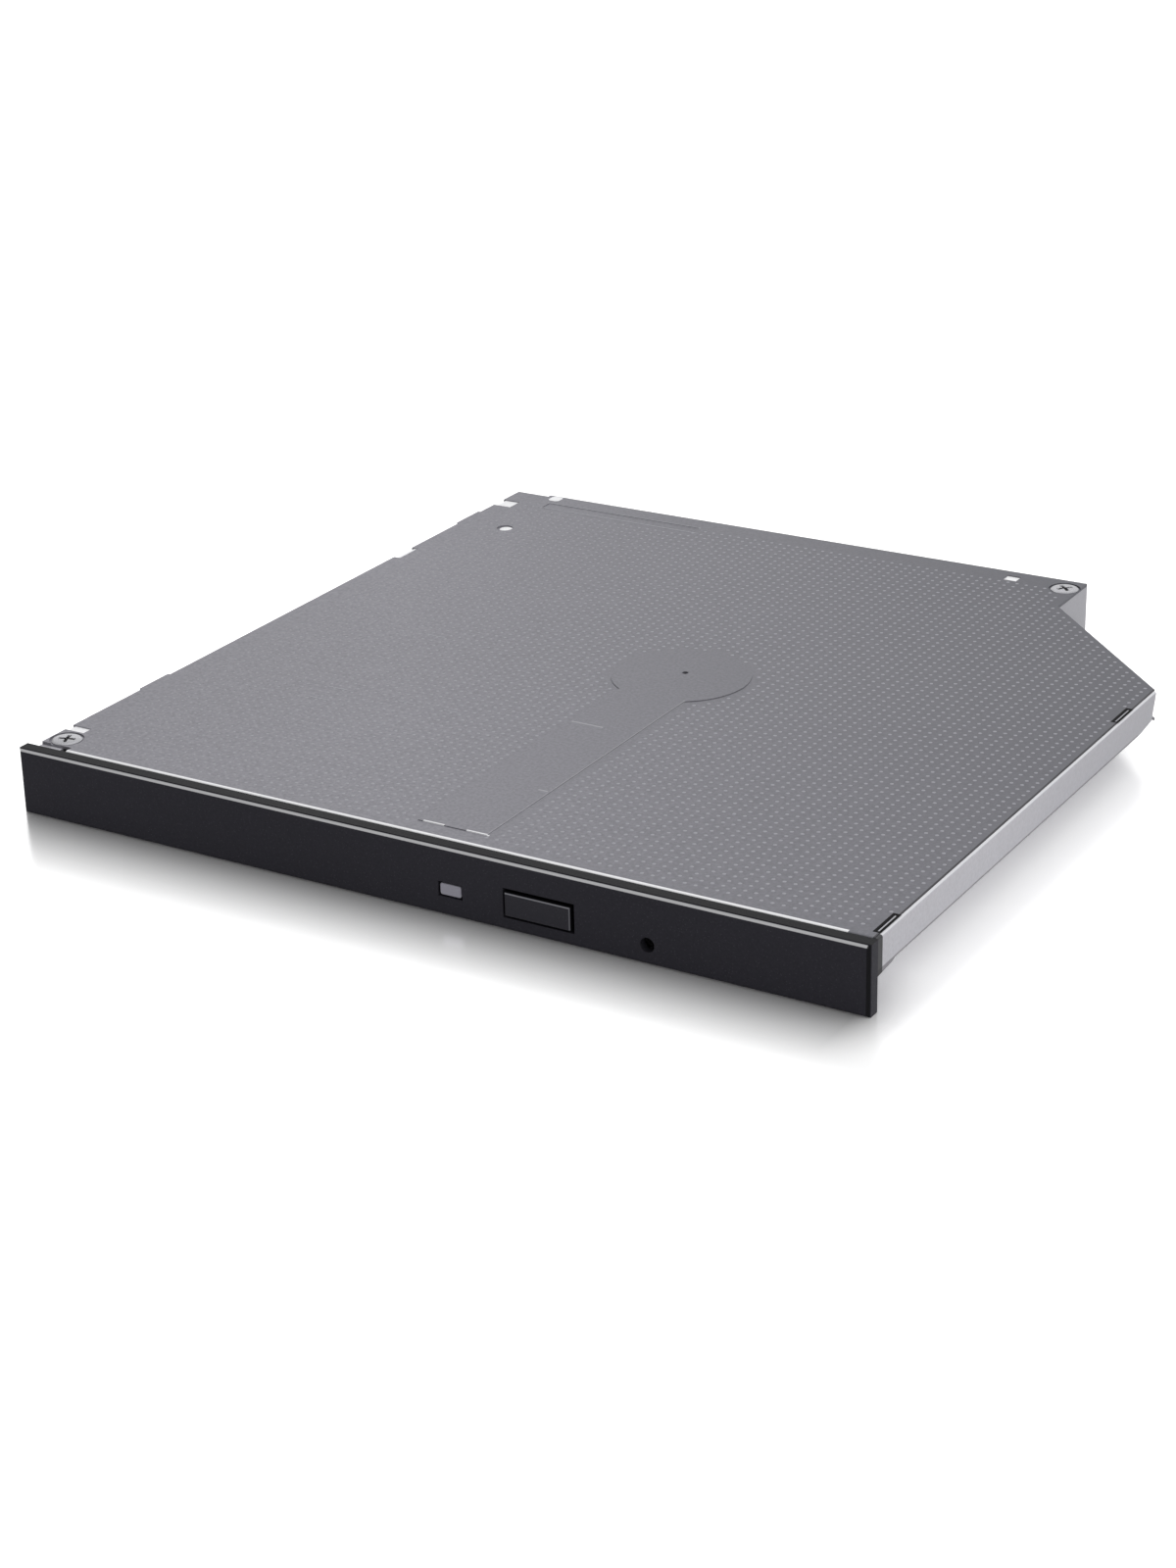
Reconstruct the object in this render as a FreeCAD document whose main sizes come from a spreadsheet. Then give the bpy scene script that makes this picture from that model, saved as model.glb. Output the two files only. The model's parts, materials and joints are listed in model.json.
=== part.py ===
import FreeCAD, Part
import math
import os
import re
import Sketcher

# Slim internal disc drive with a sliding tray, as separate bench parts. All lengths are
# millimetres. While a piece is drawn, x runs to the right with 0 in the middle of the front
# panel, y runs to the rear with 0 on the panel's front face, and z runs up with 0 on the
# underside. Each piece is then placed so that the origin lies in the middle of the footprint.
# The pick-up mechanism is drawn in its own axes, u along the travel of the pick-up, away from
# the spindle, and v across it, and is turned into place.

SIZES = {
    # front panel
    "overall_width": 128.0,
    "overall_depth": 127.0,
    "overall_height": 9.5,
    "panel_plate": 1.2,
    "panel_depth": 2.1,
    "panel_rim": 0.9,
    "panel_chamfer": 0.45,
    # sheet-metal case
    "left_inset": 1.2,
    "right_inset": 0.2,
    "front_gap": 0.4,
    "wing_width": 25.4,
    "wing_height": 4.5,
    "corner_rear": 11.2,
    "pan_thickness": 0.4,
    "cover_thickness": 0.4,
    "cover_drop": 0.1,
    "cover_lip_depth": 0.38,
    "cover_lip_start": 5.1,
    "cover_lip_end": 4.4,
    "front_tab_length": 3.8,
    "front_tab_drop": 0.6,
    "front_tab_rise": 0.3,
    "hook_first": 4.1,
    "hook_inset": 13.1,
    "hook_length": 5.2,
    "hook_slot": 0.75,
    "hook_play": 0.25,
    "wall_cover_gap": 0.06,
    "bend_radius": 0.3,
    "side_slope": 5.5,
    "side_slope_rise": 0.5,
    "side_tab_first": 25.5,
    "side_tab_inset": 19.0,
    "side_tab_length": 6.4,
    "side_tab_drop": 2.4,
    "rib_depth": 0.15,
    "rib_width": 2.4,
    # raised keyhole in the cover, over the hub and its way out
    "keyhole_radius": 10.0,
    "keyhole_width": 10.4,
    "keyhole_wall": 0.4,
    "keyhole_hole": 0.45,
    "keyhole_hole_back": 1.1,
    "strip_depth": 0.1,
    "strip_width": 2.4,
    # spindle and discs
    "spindle_x": 2.5,
    "spindle_shift": 1.85,
    "disc_radius": 60.0,
    "disc_thickness": 1.2,
    "disc_gap": 0.6,
    "ledge_width": 5.6,
    "ledge_step": 0.25,
    "small_disc_radius": 40.5,
    "small_disc_depth": 0.35,
    "hub_radius": 7.4,
    # tray
    "tray_top_gap": 0.5,
    "tray_side_gap": 0.4,
    "tray_rear_gap": 2.0,
    "tray_cut_gap": 1.6,
    "skirt_thickness": 0.9,
    "skirt_low": 1.4,
    "post_channel": 2.2,
    "deep_rear_gap": 4.6,
    "socket_zone": 16.6,
    "socket_zone_width": 48.0,
    # telescopic rails
    "rail_lift": 0.72,
    "rail_thickness": 0.6,
    "rail_width": 2.9,
    "rail_play": 0.08,
    "lip_thickness": 0.25,
    "lip_reach": 1.0,
    "guide_web": 0.9,
    "rail_front_gap": 0.5,
    "rail_rear_gap": 2.6,
    # eject button, lamp window and release hole in the panel
    "button_x": 18.65,
    "button_z": 3.8,
    "button_width": 9.5,
    "button_height": 3.2,
    "button_gap": 0.42,
    "button_proud": 0.35,
    "button_travel": 0.4,
    "button_flange": 0.35,
    "button_stem": 2.8,
    "lamp_x": 5.65,
    "lamp_z": 3.65,
    "lamp_width": 3.4,
    "lamp_height": 1.8,
    "lamp_gap": 0.12,
    "release_inset": 4.3,
    "release_z": 2.7,
    "release_radius": 1.0,
    # pick-up mechanism, in its own axes
    "sled_angle": 225.0,
    "mech_inner_gap": 2.6,
    "mech_side_gap": 2.8865,
    "mech_front_gap": 5.0,
    "mech_motor_side": 22.6,
    "mech_free_side": 19.6,
    "mech_taper": 8.0,
    "mech_plate": 0.6,
    "mech_plate_low": 3.0,
    "window_margin": 2.0,
    "window_ledge": 1.8,
    "deck_thickness": 0.3,
    "deck_gap": 0.15,
    "motor_radius": 13.4,
    "motor_gap": 0.8,
    "rotor_low": 3.4,
    "rotor_wall": 0.6,
    "ring_thickness": 0.4,
    "ring_width": 2.4,
    "bearing_radius": 2.2,
    "shaft_radius": 1.0,
    "shaft_play": 0.03,
    "rod_radius": 1.0,
    "rod_offset": 15.5,
    "rod_wall": 0.45,
    "rod_height": 3.9,
    "screw_offset": 19.2,
    "lead_radius": 0.9,
    "stepper_radius": 2.1,
    "stepper_length": 9.0,
    "lens_inner": 23.5,
    "sled_inward": 8.8,
    "sled_outward": 6.0,
    "sled_low": 2.0,
    "sled_height": 3.6,
    "lens_bay": 6.4,
    "holder_size": 4.2,
    "lens_radius": 2.3,
    "damper_radius": 2.5,
    "damper_height": 2.2,
    "damper_screw": 0.7,
    # boards
    "board_thickness": 0.6,
    "board_low": 2.2,
    "board_gap": 1.2,
    "board_front_gap": 0.7,
    "board_mech_gap": 3.945,
    "board_strip_gap": 30.2,
    "chip_height": 1.0,
    "shield_thickness": 0.3,
    "flex_thickness": 0.15,
    "flex_width": 20.0,
    "flex_left": 6.6,
    "flex_bend": 42.0,
    "flex_loop": 0.62,
    "plug_width": 33.4,
    "plug_inset": 21.9,
    "plug_low": 1.3,
    "plug_height": 4.0,
    "plug_depth": 8.4,
    # latch and ejector
    "post_radius": 0.7,
    "post_y": 14.0,
    "lever_inset": 6.4,
    "lever_y": 27.0,
    "lever_low": 3.3,
    "lever_thickness": 0.8,
    "lever_eye": 2.3,
    "lever_pin": 1.0,
    "solenoid_y": 21.0,
    "ejector_inset": 16.4,
    "ejector_z": 3.6,
    "ejector_radius": 1.5,
    "ejector_play": 0.1,
    "ejector_stroke": 7.0,
    "ejector_tail": 3.0,
    "spring_wire": 0.3,
    "spring_turns": 8.0,
    # fasteners and fixing holes
    "screw_head": 2.1,
    "screw_head_height": 0.45,
    "screw_shank": 0.7,
    "screw_hole_play": 0.1,
    "recess_depth": 0.2,
    "case_screw_x": 2.5,
    "case_screw_y": 5.9,
    "lug_screw_x": 2.2,
    "lug_screw_y": 3.5,
    "tap_radius": 0.8,
    "tap_length": 1.6,
    "side_tap_z": 3.4,
    "rear_tap_plug_gap": 11.2,
    "rear_tap_ejector_gap": 5.0,
}

PLACES = {
    "left": "-overall_width / 2 + left_inset",
    "right": "overall_width / 2 - right_inset",
    "rear": "overall_depth",
    "step": "right - wing_width",
    "wing_low": "overall_height - wing_height",
    "wing_top": "wing_low + pan_thickness",
    "cut_rear": "rear - corner_rear",
    "side_length": "cut_rear - wing_width",
    "hook_second": "side_length - hook_inset",
    "side_tab_second": "rear - side_tab_inset",
    "cover_top": "overall_height - cover_drop",
    "cover_low": "cover_top - cover_thickness",
    "case_front": "panel_depth + front_gap",
    "left_in": "left + pan_thickness",
    "right_in": "right - pan_thickness",
    "step_in": "step - pan_thickness",
    "rear_in": "rear - pan_thickness",
    "cover_right": "right_in - wall_cover_gap",
    "wall_top": "cover_top - cover_drop / 2",
    # tray levels and edges
    "tray_top": "cover_low - tray_top_gap",
    "disc_low": "tray_top - disc_thickness",
    "rail_low": "wing_top + rail_lift",
    "rail_high": "rail_low + rail_thickness",
    "groove_low": "rail_low - rail_play",
    "groove_high": "rail_high + rail_play",
    "tray_low": "groove_low - lip_thickness",
    "guide_high": "groove_high + lip_thickness",
    "ledge_floor": "guide_high + rail_play",
    "well_floor": "ledge_floor - ledge_step",
    "deck_top": "well_floor - small_disc_depth",
    "deck_low": "deck_top - deck_thickness",
    "well_radius": "disc_radius + disc_gap",
    "guide_reach": "guide_web + lip_reach",
    "rail_outer": "guide_web + rail_play",
    "rail_inner": "rail_outer + rail_width",
    "groove_depth": "rail_inner + rail_play",
    "lip_edge": "groove_depth - lip_reach",
    "tray_left": "left_in + groove_depth - tray_side_gap",
    "tray_right": "right_in - tray_side_gap",
    "tray_rear": "rear_in - tray_rear_gap",
    "tray_corner": "step_in - tray_side_gap",
    "tray_cut": "right + side_length - tray_cut_gap",
    "rail_front": "panel_depth + rail_front_gap + front_gap",
    "skirt_left": "left_in + lip_edge",
    "skirt_right": "step_in - post_channel",
    "deep_rear": "rear_in - deep_rear_gap",
    "socket_front": "rear_in - socket_zone",
    "socket_right": "skirt_left + socket_zone_width",
    "spindle_y": "(panel_depth + tray_rear) / 2 + spindle_shift",
    # lever, release hole, ejector and plug keep their place beside the walls of the deep section
    "lever_x": "step - lever_inset",
    "release_x": "step - release_inset",
    "ejector_x": "step - ejector_inset",
    "plug_x": "left + plug_inset",
    # mechanism, as long as the left rail and the front wall let it be
    "mech_side_reach": "(spindle_x - left_in - groove_depth - mech_side_gap) / cos(45 * 1 deg) "
                       "- mech_motor_side + mech_taper",
    "mech_front_reach": "(spindle_y - panel_depth - skirt_thickness - mech_front_gap) "
                        "/ cos(45 * 1 deg) - mech_free_side + mech_taper",
    "mech_outer": "min(mech_side_reach; mech_front_reach)",
    "mech_inner": "motor_radius + mech_inner_gap",
    "mech_high": "mech_plate_low + mech_plate",
    "rotor_high": "disc_low - ring_thickness",
    "rod_low": "rod_height - rod_radius",
    "bay_outer": "mech_outer - 3.2",
    "bay_inner": "motor_radius + 0.5",
    "sled_high": "sled_low + sled_height",
    "lever_high": "lever_low + lever_thickness",
    "shield_low": "skirt_low - shield_thickness",
    "board_high": "board_low + board_thickness",
    "board_left": "skirt_left + skirt_thickness + board_gap",
    "board_rear": "socket_front - skirt_thickness - board_gap",
    "board_front": "spindle_y + board_front_gap",
    "strip_front": "spindle_y + board_strip_gap",
    "column_right": "spindle_x + board_front_gap "
                    "- (mech_motor_side + board_mech_gap) / cos(45 * 1 deg)",
    "ejector_tip": "rear_in - 0.3",
    "spring_front": "ejector_tip - 25",
    "spring_rear": "ejector_tip - 14.5",
}

WORD = re.compile(r"[a-z]+(?:_[a-z]+)+|left|right|rear|step")


def formula(text):
    """An expression on the sheet, with every place written out in sizes."""
    def named(match):
        word = match.group()
        if word in PLACES:
            return "(" + formula(PLACES[word]) + ")"
        return "Sizes." + word if word in SIZES else word
    return WORD.sub(named, str(text))


def value(text):
    """The number that an expression comes to now."""
    found = sheet.evalExpression(formula(text))
    return float(getattr(found, "Value", found))


def box(x_low, x_high, y_low, y_high):
    return [(x_low, y_low), (x_high, y_low), (x_high, y_high), (x_low, y_high)]


def disc(x, y, radius):
    return (x, y, radius)


def turned(u, v):
    """A point of the mechanism in the drive's own x and y."""
    x = f"spindle_x + ({u}) * cos(sled_angle * 1 deg) - ({v}) * sin(sled_angle * 1 deg)"
    y = f"spindle_y + ({u}) * sin(sled_angle * 1 deg) + ({v}) * cos(sled_angle * 1 deg)"
    return x, y


def mech_outline(margin):
    """The six-sided plan of the mechanism, smaller by a margin, in its own axes."""
    margin = f"({margin})"
    inner = f"-mech_inner + {margin}"
    outer = f"mech_outer - {margin}"
    shoulder = f"mech_outer - mech_taper - {margin} * 0.6"
    motor_side = f"-mech_motor_side + {margin}"
    free_side = f"mech_free_side - {margin}"
    return [(inner, motor_side), (shoulder, motor_side),
            (outer, f"{motor_side} + mech_taper"), (outer, f"{free_side} - mech_taper"),
            (shoulder, free_side), (inner, free_side)]


class Piece:
    """One bench part: a body built up from pads and pockets, all bound to the sheet."""

    def __init__(self, label, mechanism=False):
        self.label = label
        self.count = 0
        self.body = doc.addObject("PartDesign::Body", label)
        self.body.Label = label
        self.pockets = []
        if mechanism:
            turn = FreeCAD.Rotation(FreeCAD.Vector(0, 0, 1), SIZES["sled_angle"])
            self.body.Placement = FreeCAD.Placement(FreeCAD.Vector(0, 0, 0), turn)
            self.body.setExpression("Placement.Rotation.Angle", formula("sled_angle * 1 deg"))
            self.place("spindle_x", "spindle_y", "0")
        else:
            self.place("0", "0", "0")
        pieces.append(self)

    def place(self, x, y, z):
        self.body.setExpression("Placement.Base.x", formula(x))
        self.body.setExpression("Placement.Base.y", formula(f"{y} - {ORIGIN_Y}"))
        self.body.setExpression("Placement.Base.z", formula(z))

    def sketch(self, plane, level, profiles):
        self.count += 1
        sketch = self.body.newObject("Sketcher::SketchObject", f"{self.label}_sketch_{self.count}")
        planes = [f for f in self.body.Origin.OriginFeatures if f.Role == plane + "_Plane"]
        sketch.AttachmentSupport = [(planes[0], "")]
        sketch.MapMode = "FlatFace"
        sketch.setExpression("AttachmentOffset.Base.z", formula(level))
        for profile in profiles:
            if isinstance(profile, tuple):
                draw_circle(sketch, *profile)
            else:
                draw_polygon(sketch, profile)
        return sketch

    def add(self, plane, low, high, *profiles):
        level = f"-({high})" if plane == "XZ" else low
        sketch = self.sketch(plane, level, profiles)
        pad = self.body.newObject("PartDesign::Pad", f"{self.label}_pad_{self.count}")
        pad.Profile = sketch
        pad.setExpression("Length", formula(f"({high}) - ({low})"))
        return self

    def cut(self, plane, low, high, *profiles):
        level = f"-({low})" if plane == "XZ" else high
        sketch = self.sketch(plane, level, profiles)
        pocket = self.body.newObject("PartDesign::Pocket", f"{self.label}_pocket_{self.count}")
        pocket.Profile = sketch
        pocket.setExpression("Length", formula(f"({high}) - ({low})"))
        self.pockets.append(pocket)
        return self

    def turn(self, profile):
        """A solid of revolution about the piece's own upright axis; profile is (radius, z)."""
        sketch = self.sketch("XZ", "0", [profile])
        spin = self.body.newObject("PartDesign::Revolution", f"{self.label}_turn_{self.count}")
        spin.Profile = sketch
        spin.ReferenceAxis = (sketch, ["V_Axis"])
        spin.Angle = 360
        return self

    def bevel(self, size, chosen, kind="Chamfer"):
        """Chamfer or round the edges that the chooser accepts."""
        doc.recompute()
        base = self.body.Tip
        names = [f"Edge{number}" for number, edge in enumerate(base.Shape.Edges, 1) if chosen(edge)]
        edge_cut = self.body.newObject(f"PartDesign::{kind}", f"{self.label}_{kind.lower()}")
        edge_cut.Base = (base, names)
        edge_cut.setExpression("Size" if kind == "Chamfer" else "Radius", formula(size))
        return self


def draw_polygon(sketch, points):
    numbers = [FreeCAD.Vector(value(x), value(y), 0) for x, y in points]
    count = len(points)
    lines = [Part.LineSegment(numbers[i], numbers[(i + 1) % count]) for i in range(count)]
    ids = sketch.addGeometry(lines)
    ends = [Sketcher.Constraint("Coincident", ids[i], 2, ids[(i + 1) % count], 1)
            for i in range(count)]
    sketch.addConstraint(ends)
    for line, number, point in zip(ids, numbers, points):
        for kind, length, text in (("DistanceX", number.x, point[0]),
                                   ("DistanceY", number.y, point[1])):
            index = sketch.addConstraint(Sketcher.Constraint(kind, -1, 1, line, 1, length))
            sketch.setExpression(f"Constraints[{index}]", formula(text))


def draw_circle(sketch, x, y, radius):
    centre = FreeCAD.Vector(value(x), value(y), 0)
    circle = Part.Circle(centre, FreeCAD.Vector(0, 0, 1), value(radius))
    line = sketch.addGeometry(circle)
    for kind, length, text in (("DistanceX", centre.x, x), ("DistanceY", centre.y, y)):
        index = sketch.addConstraint(Sketcher.Constraint(kind, -1, 1, line, 3, length))
        sketch.setExpression(f"Constraints[{index}]", formula(text))
    index = sketch.addConstraint(Sketcher.Constraint("Radius", line, value(radius)))
    sketch.setExpression(f"Constraints[{index}]", formula(radius))


ORIGIN_Y = "(overall_depth - button_proud) / 2"
doc = FreeCAD.newDocument("DiscDrive")
sheet = doc.addObject("Spreadsheet::Sheet", "Sizes")
for row, (alias, number) in enumerate(SIZES.items(), 1):
    sheet.set(f"A{row}", alias)
    sheet.set(f"B{row}", str(number))
    sheet.setAlias(f"B{row}", alias)
doc.recompute()
pieces = []
loose = []


# Case

def base_pan():
    """Stamped lower case: deep section on the left, shallow wing on the right."""
    pan = Piece("base_pan")
    pan.add("XY", "0", "pan_thickness", box("left", "step", "case_front", "rear"))
    pan.add("XY", "0", "cover_low", box("left", "left_in", "case_front", "rear"))
    pan.add("XY", "0", "cover_low", box("left", "step", "rear_in", "rear"))
    pan.add("XY", "0", "wing_top", box("step_in", "step", "case_front", "rear"))
    pan.add("XY", "0", "cover_low", box("step_in", "step", "cut_rear", "rear"))
    wing = [("step_in", "case_front"), ("right", "case_front"), ("right", "side_length"),
            ("step", "cut_rear"), ("step_in", "cut_rear")]
    pan.add("XY", "wing_low", "wing_top", wing)
    # right wall beside the cover: front tab that hangs lower, rear end sloped up
    tab_end = "case_front + front_tab_length"
    side = [("case_front", "wing_low - front_tab_drop"), (tab_end, "wing_low - front_tab_rise"),
            (f"{tab_end} + 0.9", "wing_low"), ("side_length", "wing_low"),
            ("side_length", "wall_top"), ("case_front", "wall_top")]
    pan.add("YZ", "right_in", "right", side)
    pan.bevel("bend_radius", lambda edge: along_y(edge, "right", "wall_top"), "Fillet")
    pan.cut("YZ", "right_in - 0.5", "right",
            [("side_length - side_slope", "wing_low - 0.1"), ("side_length + 0.1", "wing_low - 0.1"),
             ("side_length + 0.1", "wall_top"), ("side_length", "wall_top"),
             ("side_length - 1.4", "wing_low + side_slope_rise"),
             ("side_length - side_slope", "wing_low")])
    # hooks that stand up in the cover's slots
    for start in ("hook_first", "hook_second"):
        ends = (f"{start} + hook_play", f"{start} + hook_length - hook_play")
        pan.add("XY", "cover_low - 0.3", "cover_low", box("cover_right - hook_slot + hook_play",
                                                          "right_in", *ends))
        pan.add("XY", "cover_low", "cover_top - cover_drop / 2",
                box("cover_right - hook_slot + hook_play", "cover_right - hook_play / 2", *ends))
    # block for the front-left cover screw, above the rail guide
    pan.add("XY", "ledge_floor + hook_play", "cover_low",
            box("left_in", "left + case_screw_x + 1.1", "case_front", "case_screw_y + screw_head"))
    # lug for the rear-right cover screw
    pan.add("XY", "wing_low", "cover_low",
            box("step_in - 2 * lug_screw_x + 0.8", "step_in", "rear_in - 4.2", "rear_in"))
    pan.cut("XY", "cover_low - 1.5", "cover_low",
            disc("left + case_screw_x", "case_screw_y", "screw_shank + screw_hole_play"),
            disc("step - lug_screw_x", "rear - lug_screw_y", "screw_shank + screw_hole_play"))
    # opening for the rear plug
    pan.cut("XZ", "rear_in", "rear",
            box("plug_x - plug_width / 2 - 0.3", "plug_x + plug_width / 2 + 0.3",
                "plug_low - 0.3", "plug_low + plug_height + 0.3"))
    # tapped bosses for a mounting bracket, in the rear and left walls
    for centre in ("plug_x + plug_width / 2 + rear_tap_plug_gap", "ejector_x - rear_tap_ejector_gap"):
        pan.add("XZ", "rear - tap_length", "rear_in", disc(centre, "side_tap_z", "2 * tap_radius"))
        pan.cut("XZ", "rear - tap_length", "rear", disc(centre, "side_tap_z", "tap_radius"))
    for start in ("side_tab_first", "side_tab_second"):
        centre = f"{start} + side_tab_length / 2"
        pan.add("YZ", "left_in", "left + tap_length", disc(centre, "side_tap_z", "2 * tap_radius"))
        pan.cut("YZ", "left", "left + tap_length", disc(centre, "side_tap_z", "tap_radius"))
    # stiffening ribs pressed in the floor, seen from below
    for share in ("0.2", "0.4", "0.6", "0.8"):
        across = f"left + (step - left) * {share}"
        pan.cut("XY", "0", "rib_depth", box(f"{across} - rib_width / 2", f"{across} + rib_width / 2",
                                            "case_front + 14", "rear - 24"))
    # rivet hole of the latch post
    pan.cut("XY", "0", "pan_thickness", disc("step_in - 1", "post_y", "post_radius / 2 + 0.02"))
    return pan


def along_y(edge, x, z):
    """True for a straight edge that runs to the rear at this x and z."""
    at_x = all(abs(vertex.Point.x - value(x)) < 1e-6 for vertex in edge.Vertexes)
    return at_x and all(abs(vertex.Point.z - value(z)) < 1e-6 for vertex in edge.Vertexes)


def along_x(edge, y, z):
    """True for a straight edge that runs across at this y and z."""
    at_y = all(abs(vertex.Point.y - value(y)) < 1e-6 for vertex in edge.Vertexes)
    return at_y and all(abs(vertex.Point.z - value(z)) < 1e-6 for vertex in edge.Vertexes)


def top_cover():
    """Thin upper case with the raised keyhole, front lip, side tabs and screw recesses."""
    cover = Piece("top_cover")
    plate = [("left + 5.1", "case_front - 0.1"), ("cover_right", "case_front - 0.1"),
             ("cover_right", "cut_rear + step - (cover_right)"), ("step", "cut_rear"), ("step", "rear"),
             ("left + 5.8", "rear"), ("left + 5.8", "rear - 0.7"), ("left", "rear - 0.7"),
             ("left", "rear - 5.4"), ("left + 3.1", "rear - 5.4"),
             ("left + 3.1", "rear - 8.4"), ("left", "rear - 8.4"),
             ("left", "side_length + 3.8"), ("left + 1.1", "side_length + 3.8"),
             ("left + 1.1", "side_length - 1.2"), ("left", "side_length - 1.2"),
             ("left", "case_screw_y + 4.4"), ("left + 3.2", "case_screw_y + 4.4"),
             ("left + 3.2", "case_screw_y + 2.7"), ("left", "case_screw_y + 2.7"),
             ("left", "case_front + 1.2"), ("left + 5.1", "case_front + 1.2")]
    cover.add("XY", "cover_low", "cover_top", plate)
    channel = ("spindle_x - keyhole_width / 2", "spindle_x + keyhole_width / 2")
    # front lip in two lengths, open where the hub passes
    for low, high in (("left + cover_lip_start", channel[0]), (channel[1], "right - cover_lip_end")):
        cover.add("XY", "cover_low - cover_lip_depth", "cover_top",
                  box(low, high, "case_front - 0.1", "case_front - 0.1 + cover_thickness"))
    cover.bevel("bend_radius", lambda edge: along_x(edge, "case_front - 0.1", "cover_top"), "Fillet")
    for start in ("side_tab_first", "side_tab_second"):
        cover.add("XY", "cover_top - side_tab_drop", "cover_top",
                  box("left - cover_thickness", "left", start, f"{start} + side_tab_length"))
    cover.add("XY", "cover_top", "cover_top + cover_drop",
              disc("spindle_x", "spindle_y", "keyhole_radius"))
    cover.add("XY", "cover_top", "cover_top + cover_drop",
              box(channel[0], channel[1], "case_front + 3.2", "spindle_y"))
    cover.cut("XY", "cover_low", "cover_low + 2 * cover_drop",
              disc("spindle_x", "spindle_y", "keyhole_radius - keyhole_wall"))
    cover.cut("XY", "cover_low", "cover_low + 2 * cover_drop",
              box(f"{channel[0]} + keyhole_wall", f"{channel[1]} - keyhole_wall",
                  "case_front - 0.1", "spindle_y"))
    cover.cut("XY", "cover_low", "overall_height",
              disc("spindle_x", "spindle_y + keyhole_hole_back", "keyhole_hole"))
    # slots for the hooks along the right edge
    for start in ("hook_first", "hook_second"):
        cover.cut("XY", "cover_low", "cover_top",
                  box("cover_right - hook_slot", "cover_right", start, f"{start} + hook_length"))
    # screw seats, locating hole, dimple and the shallow strip over the plug
    seats = (("left + case_screw_x", "case_screw_y"), ("step - lug_screw_x", "rear - lug_screw_y"))
    for x, y in seats:
        cover.cut("XY", "cover_top - recess_depth", "cover_top", disc(x, y, "screw_head + 0.3"))
        cover.cut("XY", "cover_low", "cover_top", disc(x, y, "screw_shank + screw_hole_play"))
    cover.cut("XY", "cover_low", "cover_top", box("step - 12.2", "step - 10", "rear - 3.9", "rear - 1.9"))
    cover.cut("XY", "cover_top - recess_depth", "cover_top", disc("left + 8", "rear - 17.8", "1.3"))
    cover.cut("XY", "cover_top - strip_depth", "cover_top",
              box("left + 7.8", "left + 36", "rear - 6", "rear - 6 + strip_width"))
    return cover


def cover_screws():
    """Two pan-head screws that hold the cover: front left and rear right."""
    screws = Piece("cover_screws")
    seats = (("left + case_screw_x", "case_screw_y"), ("step - lug_screw_x", "rear - lug_screw_y"))
    seat = "cover_top - recess_depth"
    for x, y in seats:
        top = f"{seat} + screw_head_height - 0.2"
        screws.add("XY", seat, top, disc(x, y, "screw_head"))
        screws.add("XY", "cover_low - 1.3", seat, disc(x, y, "screw_shank"))
        screws.cut("XY", f"{top} - 0.2", top, box(f"{x} - 1.1", f"{x} + 1.1", f"{y} - 0.2", f"{y} + 0.2"))
        screws.cut("XY", f"{top} - 0.2", top, box(f"{x} - 0.2", f"{x} + 0.2", f"{y} - 1.1", f"{y} + 1.1"))
    return screws


def rail_edges(side):
    """Give wall(d): the x that lies d inward of the case wall on that side."""
    if side == "left":
        return lambda inward: f"left_in + {inward}"
    return lambda inward: f"right_in - ({inward})"


def rail_rear(side):
    return "tray_rear - rail_rear_gap" if side == "left" else "side_length - rail_rear_gap"


def rail_guide(side):
    """Plastic channel riveted to the case wall, in which the rail runs."""
    wall = rail_edges(side)
    guide = Piece(f"rail_guide_{side}")
    ends = ("rail_front", rail_rear(side))
    guide.add("XZ", *ends, ordered(wall("0"), wall("guide_reach"), "tray_low", "guide_high", side))
    guide.cut("XZ", *ends, ordered(wall("guide_web"), wall("guide_reach"), "groove_low",
                                   "groove_high", side))
    return guide


def rail(side):
    """Steel strip between the case and the tray; it moves half as far as the tray."""
    wall = rail_edges(side)
    strip = Piece(f"slide_rail_{side}")
    strip.add("XZ", "rail_front", rail_rear(side),
              ordered(wall("rail_outer"), wall("rail_inner"), "rail_low", "rail_high", side))
    return strip


def ordered(near, far, low, high, side):
    """A box between a near and a far x, the right way round on either side."""
    return box(near, far, low, high) if side == "left" else box(far, near, low, high)


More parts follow.
